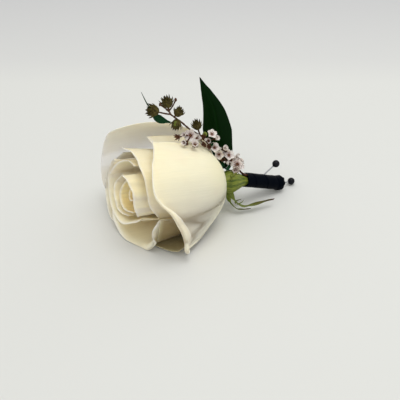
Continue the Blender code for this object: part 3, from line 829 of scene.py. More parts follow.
class Piece:
    """One visible piece in the making, in design millimetres."""

    def __init__(self, name: str, slot: str, *stands_for: str) -> None:
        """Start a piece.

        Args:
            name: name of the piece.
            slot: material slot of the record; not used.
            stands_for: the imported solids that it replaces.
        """
        self.name = name
        self.slot = slot
        self.stands_for = stands_for
        self.parts: list[bpy.types.Mesh] = []
        self.finishes: list[Finish] = []

    def add(self, bm: bmesh.types.BMesh, finish: Finish) -> None:
        """Keep a shaped bmesh as part of the piece, in one finish.

        Args:
            bm: the bmesh, which is freed.
            finish: its finish.
        """
        if finish not in self.finishes:
            self.finishes.append(finish)
        for face in bm.faces:
            face.smooth = True
            face.material_index = self.finishes.index(finish)
        self.parts.append(to_mesh(self.name + "_part", bm))

    @staticmethod
    def blank() -> tuple[bmesh.types.BMesh, Any, Any]:
        """Empty bmesh with the layers that the finishes read: its map and its tone."""
        bm = bmesh.new()
        return bm, bm.loops.layers.uv.new("chart"), bm.verts.layers.float.new("tone")

    def patch(self, shape: Shape, across: int, along: int, finish: Finish, tone: float = 0.5,
              wall: float = 0.0, ring: bool = False) -> None:
        """Add a shaped grid: a blade with a wall, or a round form whose two sides meet.

        Args:
            shape: point for a place (across, along), both from 0 to 1.
            across: faces across.
            along: faces along.
            finish: its finish.
            tone: what tells it from its neighbours, from 0 to 1.
            wall: thickness of a blade.
            ring: whether the two sides are welded.
        """
        bm, chart, tones = self.blank()
        bmesh.ops.create_grid(bm, x_segments=across, y_segments=along, size=0.5)
        for face in bm.faces:
            for loop in face.loops:
                loop[chart].uv = (loop.vert.co.x + 0.5, loop.vert.co.y + 0.5)
        for vert in bm.verts:
            vert[tones] = tone
            vert.co = shape(vert.co.x + 0.5, vert.co.y + 0.5)
        if ring:
            bmesh.ops.remove_doubles(bm, verts=bm.verts, dist=WELD)
            bmesh.ops.recalc_face_normals(bm, faces=bm.faces)
        if wall:
            bmesh.ops.solidify(bm, geom=bm.faces[:], thickness=wall)
        self.add(bm, finish)

    def ball(self, place: Matrix, size: Sequence[float], finish: Finish, tone: float = 0.5, detail: int = 2,
             wobble: float = 0.0) -> None:
        """Add a small rounded body.

        Args:
            place: matrix of its middle and axis.
            size: its three half sizes.
            finish: its finish.
            tone: what tells it from its neighbours.
            detail: subdivisions of its surface.
            wobble: unevenness as a share of its size.
        """
        bm, chart, tones = self.blank()
        bmesh.ops.create_icosphere(bm, subdivisions=detail, radius=1.0)
        for face in bm.faces:
            for loop in face.loops:
                loop[chart].uv = (math.atan2(loop.vert.co.y, loop.vert.co.x) / math.tau + 0.5,
                                  loop.vert.co.z * 0.5 + 0.5)
        for vert in bm.verts:
            vert[tones] = tone
            vert.co *= 1.0 + wobble * noise.noise(vert.co * WOBBLE_SCALE + place.translation)
        bmesh.ops.scale(bm, vec=size, verts=bm.verts)
        bmesh.ops.transform(bm, matrix=place, verts=bm.verts)
        self.add(bm, finish)

    def stem(self, path: Path, radii: Sequence[float], finish: Finish, sides: int = 8, steps: int = 16,
             tone: float = 0.5, knots: float = 0.0) -> None:
        """Add a round stem with closed, rounded ends.

        Args:
            path: its line.
            radii: radii at even steps along it.
            finish: its finish.
            sides: faces round it.
            steps: faces along it.
            tone: what tells it from its neighbours.
            knots: unevenness of its radius as a share.
        """

        def shape(u: float, v: float) -> Vector:
            """Point round the stem; the first and last rows close its ends.

            Args:
                u: place round it, from 0 to 1.
                v: place along it, from 0 to 1.

            Returns:
                The point.
            """
            inner = min(max((v * (steps + 2) - 1) / steps, 0.0), 1.0)
            heading = path.heading(inner)
            across = heading.cross(ALONG_NO_STEM).normalized()
            rise = heading.cross(across)
            radius = 0.0 if v < WELD or v > 1.0 - WELD else along_table(radii, inner)
            radius *= 1.0 + knots * noise.noise(path.at(inner) * KNOT_SCALE + Vector((u, 0.0, 0.0)))
            turn = u * math.tau
            return path.at(inner) + (across * math.cos(turn) + rise * math.sin(turn)) * radius

        self.patch(shape, sides, steps + 2, finish, tone, ring=True)

    def turned(self, profile: Sequence[Flat], place: Matrix, finish: Finish, sides: int = 24,
               steps: int = 16, tone: float = 0.5, ribs: tuple[int, float] = (0, 0.0)) -> None:
        """Add a body turned about an axis.

        Args:
            profile: (radius, height) points, read as one smooth line; it starts and ends on the axis.
            place: matrix of its base and axis.
            finish: its finish.
            sides: faces round it.
            steps: faces along the profile.
            tone: what tells it from its neighbours.
            ribs: how many ribs run up it, and their depth as a share of the radius.
        """
        line = Path(*((radius, 0.0, height) for radius, height in profile))

        def shape(u: float, v: float) -> Vector:
            """Point of the turned body.

            Args:
                u: place round it, from 0 to 1.
                v: place along it, from 0 to 1.

            Returns:
                The point.
            """
            spot = line.at(v)
            turn = u * math.tau
            radius = spot.x if WELD < v < 1.0 - WELD else 0.0
            radius = max(0.0, radius) * (1.0 + ribs[1] * math.cos(ribs[0] * turn))
            return place @ Vector((radius * math.cos(turn), radius * math.sin(turn), spot.z))

        self.patch(shape, sides, steps, finish, tone, ring=True)

    def finish(self) -> bpy.types.Object:
        """Join the parts, put them in the frame and hand the piece over.

        Returns:
            The finished object.
        """
        bm = bmesh.new()
        for part in self.parts:
            bm.from_mesh(part)
            bpy.data.meshes.remove(part)
        bmesh.ops.transform(bm, matrix=DESIGN.placing(), verts=bm.verts)
        mesh = to_mesh(self.name, bm)
        for finish in self.finishes:
            mesh.materials.append(finish.material())
        item = in_scene(self.name, mesh)
        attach(item, ROOT)
        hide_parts(*self.stands_for)
        return item


# ---------------------------------------------------------------------------------------------------------
# Rose bloom
# ---------------------------------------------------------------------------------------------------------

# Handles of a cupped petal's side profile: shares of its rim's radius and height, and a height.
LOW_HANDLE = 0.74
LOW_HANDLE_HEIGHT = 3.2
HIGH_HANDLE = 1.10
HIGH_HANDLE_SHARE = 0.40

# What every petal has in common: how late its rim begins to lean, how uneven its roll is, the greatest angle
# that it curls through, and how its rows crowd together at the rim and at the sides.
LATE = 2.5
UNEVEN_ROLL = 0.30
FULL_CURL = 3.6
RIM_CROWDING = 1.5
SIDE_CROWDING = 0.25

# Where, from its root at 0 to its rim at 1, a petal leaves its claw, narrows, spirals, ruffles and rolls its
# sides.
CLAW_SPAN = (0.0, 0.55)
NARROW_SPAN = (0.6, 1.0)
SPIRAL_SPAN = (0.0, 0.4)
RUFFLE_SPAN = (0.35, 1.0)
SIDE_ROLL_SPAN = (0.35, 0.75)

# Waves of a rim: how fast they run round and along, how they shift from petal to petal, and their height.
RUFFLES = ((2.6, 1.6, 0.37, 0.0, 1.7), (6.5, 2.4, 0.53, 9.0, 0.8))


def cup(radius: float, height: float, belly: float = 1.0, root: Flat = (4.0, 2.8)) -> Profile:
    """Side profile of a cupped petal.

    Args:
        radius: distance of its rim from the bloom's axis.
        height: height of its rim above the bloom's base.
        belly: how far the side swells.
        root: radius and height of its root.

    Returns:
        The four points of a Bezier curve.
    """
    low = (radius * LOW_HANDLE, LOW_HANDLE_HEIGHT)
    return root, low, (radius * HIGH_HANDLE * belly, height * HIGH_HANDLE_SHARE), (radius, height)


@dataclass
class Petal:
    """One rose petal.

    `centre` and `half` are the azimuth of its middle and its half width in degrees, and its sides are its
    low side and its high side. `corner` and `power` lower the rim towards its sides. `roll` is the length
    of rim that curls outwards round a radius `curl`, and `side_roll` the same along the sides. `spiral` is
    how much farther out than the middle the high side lies, `claw` the width at the root as a share, and
    `narrow` the share that the rim loses. `bend` folds the petal outwards by (low side, middle, high side)
    degrees above `pivot`, with a power `bend_power` of the height above it. Four tables hold values at even
    steps from the low side to the high side: `rim`, the share of the profile that the rim reaches,
    `reach`, how far the rim leans outwards, `rolls`, the share of the roll, and `sweep`, how many degrees
    the rim turns. `ruffle` is the height of the waves at the rim, and `start` the share of the petal that
    is hidden in the bloom and left out.
    """

    centre: float
    half: float
    profile: Profile
    corner: float = 0.0
    power: float = 3.0
    roll: float = 0.0
    curl: float = 2.0
    side_roll: float = 0.0
    spiral: float = 0.0
    claw: float = 0.62
    narrow: float = 0.15
    bend: tuple[float, float, float] = (0.0, 0.0, 0.0)
    pivot: float = 0.4
    bend_power: float = 0.8
    rim: Table = (1.0, 1.0)
    reach: Table = (0.0, 0.0)
    rolls: Table = (1.0, 1.0)
    sweep: Table = (0.0, 0.0)
    start: float = 0.0
    ruffle: float = 0.35
    tone: float = 0.1
    finish: Finish = Finish.PETAL
    grid: tuple[int, int] = (44, 44)
    wall: float = 0.40
    length: float = field(init=False)
    widest: float = field(init=False)

    def __post_init__(self) -> None:
        """Measure the side profile."""
        steps = [bezier(self.profile, index / CURVE_STEPS) for index in range(CURVE_STEPS + 1)]
        self.length = sum(math.dist(a, b) for a, b in zip(steps, steps[1:]))
        self.widest = max(radius for radius, _ in steps)

    def bent(self, u: float, s: float) -> Flat:
        """Radius and height on the side profile, folded outwards above the pivot.

        Args:
            u: place across, from -1 at the low side to 1 at the high side.
            s: place on the side profile, from 0 to 1.

        Returns:
            The radius and the height.
        """
        radius, height = bezier(self.profile, s)
        low, middle, high = self.bend
        if not any(self.bend) or s <= self.pivot:
            return radius, height
        angle = middle + (high - middle) * max(u, 0.0) ** 2 + (low - middle) * max(-u, 0.0) ** 2
        angle = math.radians(angle) * ((s - self.pivot) / (1.0 - self.pivot)) ** self.bend_power
        pivot_radius, pivot_height = bezier(self.profile, self.pivot)
        across = radius - pivot_radius
        along = height - pivot_height
        return (pivot_radius + across * math.cos(angle) + along * math.sin(angle),
                pivot_height - across * math.sin(angle) + along * math.cos(angle))

    def flat_point(self, u: float, v: float) -> Vector:
        """Point of the petal before its rim curls.

        Args:
            u: place across, from -1 at the low side to 1 at the high side.
            v: place from the root at 0 to the rim at 1.

        Returns:
            The point in the bloom's axes.
        """
        position = (u + 1.0) / 2.0
        late = v ** LATE
        s = v * (1.0 - self.corner * abs(u) ** self.power)
        s *= along_table(self.rim, position)
        radius, height = self.bent(u, s)
        radius += along_table(self.reach, position) * late
        half = math.radians(self.half) * (self.claw + (1.0 - self.claw) * smooth(*CLAW_SPAN, s))
        half *= 1.0 - self.narrow * smooth(*NARROW_SPAN, s)
        azimuth = math.radians(self.centre + along_table(self.sweep, position) * late) + u * half
        radius += self.spiral * u * smooth(*SPIRAL_SPAN, s)
        waves = sum(high * noise.noise(Vector((azimuth * around, v * upwards, self.centre * own + shift)))
                    for around, upwards, own, shift, high in RUFFLES)
        radius += self.ruffle * smooth(*RUFFLE_SPAN, v) * waves
        return Vector((radius * math.cos(azimuth), radius * math.sin(azimuth), height))

    def point(self, u: float, v: float) -> Vector:
        """Point of the petal with its rim curled outwards.

        Args:
            u: place across, from -1 at the low side to 1 at the high side.
            v: place from the root at 0 to the rim at 1.

        Returns:
            The point in the bloom's axes.
        """
        place = self.flat_point(u, v)
        uneven = 1.0 + UNEVEN_ROLL * noise.noise(Vector((u * 2.2, self.centre * 0.11, 3.0)))
        top_length = self.roll * along_table(self.rolls, (u + 1.0) / 2.0) * uneven
        top = max(0.0, v * self.length - (self.length - top_length)) if top_length > 0.0 else 0.0
        half_width = math.radians(self.half) * self.widest
        side = 0.0
        if self.side_roll > 0.0:
            side = max(0.0, abs(u) * half_width - (half_width - self.side_roll)) * smooth(*SIDE_ROLL_SPAN, v)
        reach = math.hypot(top, side)
        if reach < 1e-6:
            return place
        across = (self.flat_point(u + PROBE, v) - self.flat_point(u - PROBE, v)).normalized()
        along = (self.flat_point(u, v + PROBE) - self.flat_point(u, v - PROBE)).normalized()
        outward = across.cross(along).normalized()
        if outward.dot(Vector((place.x, place.y, 0.0))) < 0.0:
            outward = -outward
        heading = ((along * top + across * math.copysign(side, u)) / reach).normalized()
        angle = min(reach / self.curl, FULL_CURL)
        spare = reach - angle * self.curl
        forward = self.curl * math.sin(angle) - reach + spare * math.cos(angle)
        lift = self.curl * (1.0 - math.cos(angle)) + spare * math.sin(angle)
        return place + heading * forward + outward * lift

    def add_to(self, piece: Piece) -> None:
        """Add the petal to a piece, with its rows closer together towards the rim.

        Args:
            piece: where it goes.
        """
        place = DESIGN.bloom()

        def shape(across: float, along: float) -> Vector:
            """Point of the placed petal.

            Args:
                across: place across, from 0 to 1.
                along: place along, from 0 to 1.

            Returns:
                The point.
            """
            u = 2.0 * across - 1.0
            v = self.start + (1.0 - self.start) * (1.0 - (1.0 - along) ** RIM_CROWDING)
            spot = place @ self.point(u * (1.0 + SIDE_CROWDING * (1.0 - u * u)), v)
            spot.z = above_surface(spot.z)
            return spot

        piece.patch(shape, *self.grid, self.finish, self.tone, wall=self.wall)


@dataclass
class RoseBloom:
    """Rose bloom: the outer petals and the spiral of petals inside them."""

    outer: tuple[Petal, ...] = (
        Petal(64, 73, cup(24.2, 52, 0.98), roll=5.5, curl=1.4, side_roll=1.5, narrow=0.04,
              claw=1.16, rim=(0.89, 0.92, 0.95, 0.97, 0.975, 0.96, 0.92, 0.89, 0.83),
              reach=(0.0, -1.0, -1.5, -2.0, -2.5, -2.0, -0.8, 5.3, 10.3),
              sweep=(0.0, 0.0, 0.0, 0.0, 0.0, 0.0, -2.0, -9.0, -20.0),
              rolls=(0.55, 0.6, 0.65, 0.75, 1.0, 1.5, 1.85, 1.85, 1.4), grid=(96, 60)),
        Petal(152, 60, cup(21.5, 56), roll=6.5, curl=1.6, side_roll=1.0, claw=0.8, narrow=0.0,
              rim=(0.85, 0.865, 0.885, 0.92, 0.955, 0.965, 0.97, 0.985, 0.98),
              reach=(-1.0, -1.5, -1.5, 0.5, 4.0, 3.0, 1.0, -1.5, -2.0),
              rolls=(0.05, 0.15, 0.5, 0.95, 1.0, 0.6, 0.4, 0.4, 0.4), grid=(70, 56)),
        # The next two guard petals carry painted shade: their olive-brown finish stands in for the shadowed
        # hollow under the bloom.
        Petal(125, 33, cup(22.4, 56), narrow=0.0, rim=(0.85, 0.84, 0.83, 0.82, 0.82),
              reach=(-1.0, -1.2, -0.9, 1.4, 4.0), ruffle=0.1, tone=1.0, finish=Finish.GUARD),
        Petal(143, 18, ((4, 2.8), (16, 3.2), (22.5, 20), (25.5, 42.5)), narrow=0.0,
              rim=(0.83, 0.87, 0.92, 0.965, 1.0), reach=(6.85, 4.85, 2.5, 0.8, 0.0), ruffle=0.1,
              finish=Finish.GUARD),
        Petal(228, 56, cup(26.0, 54), corner=0.10, roll=2.0, curl=3.0, side_roll=2.0, bend=(0, 4, 3)),
        # The back petal's paler finish is painted light, standing in for light shining through it.
        Petal(280, 52, cup(29.0, 55, 1.21), corner=0.02, power=6.0, claw=0.8, narrow=0.22,
              finish=Finish.BACK),
        Petal(-29, 22, cup(23.5, 38), corner=0.04, roll=0.6, claw=1.0, spiral=-2.6, narrow=0.0),
    )
    inside: tuple[Petal, ...] = (
        Petal(215, 80, cup(18.0, 56), roll=2.4, curl=1.5, side_roll=1.5, narrow=0.0, start=0.4,
              rim=(0.91, 0.93, 0.96, 0.975, 0.985, 0.99, 0.99, 0.985, 0.97),
              reach=(-7.5, -5.5, -3.0, -1.0, 0.5, 0.5, 0.5, 0.0, -1.0), tone=0.25, grid=(70, 36)),
        Petal(36, 80, cup(17.0, 51), roll=1.6, curl=1.8, side_roll=1.0, narrow=0.0, start=0.4,
              rim=(0.99, 0.97, 0.96, 0.965, 0.96, 0.955, 0.94, 0.89, 0.86),
              reach=(3.3, 1.6, 0.0, 0.0, 0.5, 0.0, -1.0, -1.5, -3.0), ruffle=0.5, tone=0.3, grid=(70, 36)),
        Petal(310, 42, cup(16.0, 54.5), roll=1.2, curl=1.6, side_roll=1.5, narrow=0.0, start=0.45,
              rim=(1.0, 0.98, 0.96, 0.94, 0.93), reach=(0.0, 0.0, -0.5, -1.5, -3.0), ruffle=0.5, tone=0.5,
              grid=(44, 30)),
        Petal(57, 62, cup(11.5, 54, 0.95, (2, 3)), roll=1.2, curl=1.5, side_roll=0.8, narrow=0.0,
              start=0.45, rim=(0.995, 0.995, 0.99, 0.98, 0.975, 0.975, 0.97, 0.955, 0.94),
              reach=(-2.0, -0.8, -0.5, -0.5, -0.5, -0.3, 0.5, 1.5, 0.5), ruffle=0.55, tone=0.55,
              grid=(50, 30)),
        Petal(228, 52, cup(14.0, 53, 0.95, (2, 3)), corner=0.05, roll=1.0, curl=1.5, side_roll=1.2,
              start=0.5, ruffle=0.6, tone=0.5, grid=(50, 26)),
        Petal(215, 62, cup(9.8, 51.5, 0.95, (2, 3)), corner=0.04, roll=0.8, curl=1.5, side_roll=1.0,
              start=0.5, ruffle=0.6, tone=0.9, grid=(50, 26)),
        Petal(20, 80, cup(6.8, 49, 0.9, (1, 3)), corner=0.06, roll=0.8, curl=1.2, side_roll=1.0,
              spiral=1.5, start=0.5, ruffle=0.6, tone=0.9, grid=(40, 24)),
        Petal(200, 90, cup(4.8, 48.5, 0.9, (1, 3)), corner=0.06, roll=0.6, curl=1.2, side_roll=0.8,
              spiral=1.5, start=0.5, ruffle=0.6, tone=1.0, grid=(40, 24)),
        Petal(80, 100, cup(2.8, 48.8, 0.9, (0.8, 3)), corner=0.08, roll=0.5, curl=1.0, side_roll=0.6,
              spiral=1.0, start=0.5, ruffle=0.4, tone=1.0, grid=(32, 24)),
    )
    core: Profile = (
        (0.0, 2.4), (4.6, 2.4), (8.5, 5.6), (11.5, 12.0), (12.0, 20.0), (10.0, 27.0), (5.0, 30.0),
        (0.0, 30.5))

    def build(self) -> list[bpy.types.Object]:
        """Build the bloom.

        Returns:
            The outer petals and the inner petals.
        """
        outside = Piece("rose_outer_petals", "petal_cream", "rose_bloom")
        for petal in self.outer:
            petal.add_to(outside)
        inside = Piece("rose_inner_petals", "petal_cream", "rose_bloom")
        inside.turned(self.core, DESIGN.bloom(), Finish.PETAL, sides=40, steps=20, tone=0.6)
        for petal in self.inside:
            petal.add_to(inside)
        return [outside.finish(), inside.finish()]


# ---------------------------------------------------------------------------------------------------------
# Hip, leaf and sprigs
# ---------------------------------------------------------------------------------------------------------


@dataclass
class Blade:
    """Narrow leaf-like blade along a line: a sepal, a bract or a small leaf.

    `face` is the direction that its upper side looks in, `widths` its widths at even steps, `cupping` how
    far its sides rise as a share of its width and `wall` its thickness.
    """

    points: Sequence[Sequence[float]]
    widths: Sequence[float]
    face: Sequence[float] = (0.0, 0.3, 1.0)
    cupping: float = 0.14
    wall: float = 0.35
    grid: tuple[int, int] = (6, 24)
    tone: float = 0.5
    waves: float = 0.0
    grounded: bool = False

    def add_to(self, piece: Piece, finish: Finish) -> None:
        """Add the blade to a piece.

        Args:
            piece: where it goes.
            finish: its finish.
        """
        path = Path(*self.points)

        def shape(across: float, along: float) -> Vector:
            """Point of the blade.

            Args:
                across: place across, from 0 to 1.
                along: place along, from 0 to 1.

            Returns:
                The point.
            """
            u = 2.0 * across - 1.0
            heading = path.heading(along)
            side = heading.cross(Vector(self.face)).normalized()
            rise = side.cross(heading)
            width = max(0.02, along_table(self.widths, along))
            ripple = self.waves * noise.noise(Vector((along * 7.0, u, self.tone * 9.0))) * abs(u)
            spot = path.at(along) + side * (u * width * 0.5)
            spot += rise * (abs(u) ** EDGE_RISE * width * self.cupping)
            spot += rise * ripple
            if self.grounded:
                spot.z = above_surface(spot.z, BLADE_CLEARANCE)
            return spot

        piece.patch(shape, *self.grid, finish, self.tone, wall=self.wall)


@dataclass
class RoseHip:
    """Rose hip with its calyx of five long sepals, and the stem that runs down into the wrap."""

    centres: tuple[Point, ...] = (
        (-1.8, 0.0, 16.8), (0.1, 0.0, 16.5), (2.0, 0.0, 16.18), (4.4, 0.0, 15.78), (6.6, -0.05, 15.3),
        (8.3, -0.1, 14.85))
    radii: Table = (4.6, 5.4, 5.7, 5.2, 4.2, 3.2, 2.5, 2.3, 2.2)
    stem_offset: float = -0.8
    stem_depths: Table = (-0.4, 1.5, 5.0)

    def sepals(self) -> list[Blade]:
        """The five sepals and their three side lobes, folded back from the calyx towards the wrap.

        Returns:
            The blades.
        """
        return [
            Blade([(1.5, -2.5, 13.0), (2.5, -5.5, 8.5), (6.7, -7.2, 4.4), (13.0, -7.6, 4.2),
                   (20.5, -8.0, 4.6), (24.0, -8.2, 4.9)],
                  [2.8, 2.9, 2.6, 2.2, 1.9, 1.5, 0.15], tone=1.0, waves=0.5, grounded=True),
            Blade([(4.0, -6.6, 6.0), (5.6, -8.3, 8.4), (6.2, -8.8, 10.2)], [1.2, 1.1, 0.1], tone=0.4),
            Blade([(9.5, -7.4, 4.2), (12.0, -9.0, 4.9), (14.2, -9.9, 5.6)], [0.9, 0.8, 0.1], tone=0.6),
            Blade([(1.0, -1.5, 12.4), (0.6, -4.4, 7.4), (3.6, -6.6, 3.6), (7.0, -7.4, 2.6),
                   (11.0, -7.8, 2.2)],
                  [2.6, 2.0, 1.3, 0.9, 0.12], tone=0.8, waves=0.3, grounded=True),
            Blade([(4.4, -3.6, 4.4), (5.6, -1.7, 4.0), (8.6, -1.2, 4.0)], [0.9, 0.9, 0.1], tone=0.7),
            Blade([(1.5, 2.0, 12.6), (2.6, 5.6, 8.6), (6.0, 9.0, 4.8), (11.0, 11.0, 3.0)],
                  [3.2, 2.9, 1.7, 0.15], tone=0.5, waves=0.4, grounded=True),
            Blade([(1.5, 3.2, 16.5), (1.6, 7.6, 15.6), (3.6, 11.6, 12.6), (6.0, 14.4, 8.6)],
                  [3.2, 2.9, 1.7, 0.15], (0.0, 0.9, 0.5), tone=0.5, waves=0.4),
            Blade([(1.6, -1.6, 19.5), (1.2, -3.4, 21.6), (2.6, -4.2, 23.6), (4.2, -4.6, 24.6)],
                  [3.0, 2.7, 1.5, 0.15], (0.6, -0.6, 0.6), tone=0.4, waves=0.3),
        ]

    def build(self) -> list[bpy.types.Object]:
        """Build the hip and its sepals.

        Returns:
            The one piece.
        """
        along = DESIGN.along()
        start = DESIGN.mouth + DESIGN.side() * self.stem_offset
        piece = Piece("rose_hip_and_sepals", "sepal_green", "rose_hip")
        path = Path(*self.centres, *(start + along * depth for depth in self.stem_depths))
        piece.stem(path, self.radii, Finish.HIP, sides=36, steps=36, tone=0.0, knots=0.03)
        for sepal in self.sepals():
            sepal.add_to(piece, Finish.HIP)
        return [piece.finish()]


@dataclass
class BackingLeaf:
    """Broad pointed leaf behind the bloom, with a grooved midrib and the petiole that enters the wrap."""

    midrib: tuple[Point, ...] = (
        (3.7, 10.0, 17.3), (3.4, 12.8, 21.5), (2.9, 15.0, 25.6), (3.1, 18.0, 35.6), (1.9, 20.0, 46.3),
        (-0.9, 22.0, 55.1), (-2.4, 23.2, 59.1), (-3.9, 24.1, 63.0))
    half_widths: Table = (1.0, 5.0, 7.0, 7.3, 5.3, 2.8, 1.4, 0.12)
    across: Vector = field(default_factory=lambda: Vector((0.93, -0.36, -0.05)).normalized())
    fold: float = 0.22
    groove: float = 0.28
    groove_width: float = 0.55
    side_veins: int = 17
    vein_slant: float = 3.2
    vein_height: float = 0.05
    swell: float = 0.35
    stem_angle: float = -36.0
    grid: tuple[int, int] = (32, 110)
    wall: float = 0.4
    petiole: tuple[Point, ...] = (
        (7.4, 6.6, 16.6), (5.0, 9.0, 16.6), (3.65, 10.8, 18.4), (3.4, 12.9, 21.5))
    petiole_radius: float = 0.42

    def shape(self, path: Path) -> Shape:
        """Shape of the blade along its midrib.

        Args:
            path: the midrib.

        Returns:
            The shape.
        """

        def point(across: float, along: float) -> Vector:
            """Point of the blade.

            Args:
                across: place across, from 0 to 1.
                along: place along, from 0 to 1.

            Returns:
                The point.
            """
            u = 2.0 * across - 1.0
            heading = path.heading(along)
            face = self.across.cross(heading).normalized()
            width = max(0.1, along_lines(self.half_widths, along))
            spot = path.at(along) + self.across * (u * width)
            spot -= face * (abs(u) ** EDGE_RISE * width * self.fold)
            vein = math.cos(math.tau * (along * self.side_veins - abs(u) * self.vein_slant))
            relief = -self.groove * math.exp(-(u * width / self.groove_width) ** 2)
            relief += self.vein_height * vein * smooth(0.05, 0.3, abs(u)) * (1.0 - abs(u))
            relief += self.swell * noise.noise(Vector((along * 5.0, u * 1.2, 4.0))) * abs(u)
            return spot + face * relief

        return point

    def build(self) -> list[bpy.types.Object]:
        """Build the leaf.

        Returns:
            The one piece.
        """
        piece = Piece("backing_leaf", "leaf_green", "broad_leaf")
        piece.patch(self.shape(Path(*self.midrib)), *self.grid, Finish.LEAF, wall=self.wall)
        line = Path(*DESIGN.stem_start(self.stem_angle), *self.petiole)
        piece.stem(line, [self.petiole_radius] * 4, Finish.SMALL_LEAF, sides=10, steps=36)
        return [piece.finish()]


@dataclass(frozen=True)
class Whorl:
    """Ring of pointed scales on a bud head; lengths are shares of the head's radius.

    `radius` and `height` say where the scales sit, `length` is how long they are and `lean` how far they
    lean outwards in degrees. `sunk` brings their roots inside the head, and `straighten` is the share of the
    lean that their tips keep. The last three are how much the scales differ from each other.
    """

    count: int
    radius: float
    height: float
    length: float
    lean: float
    sunk: float = 0.92
    straighten: float = 0.3
    crowding: float = 0.15
    lean_spread: float = 9.0
    lengths: Flat = (0.75, 1.1)


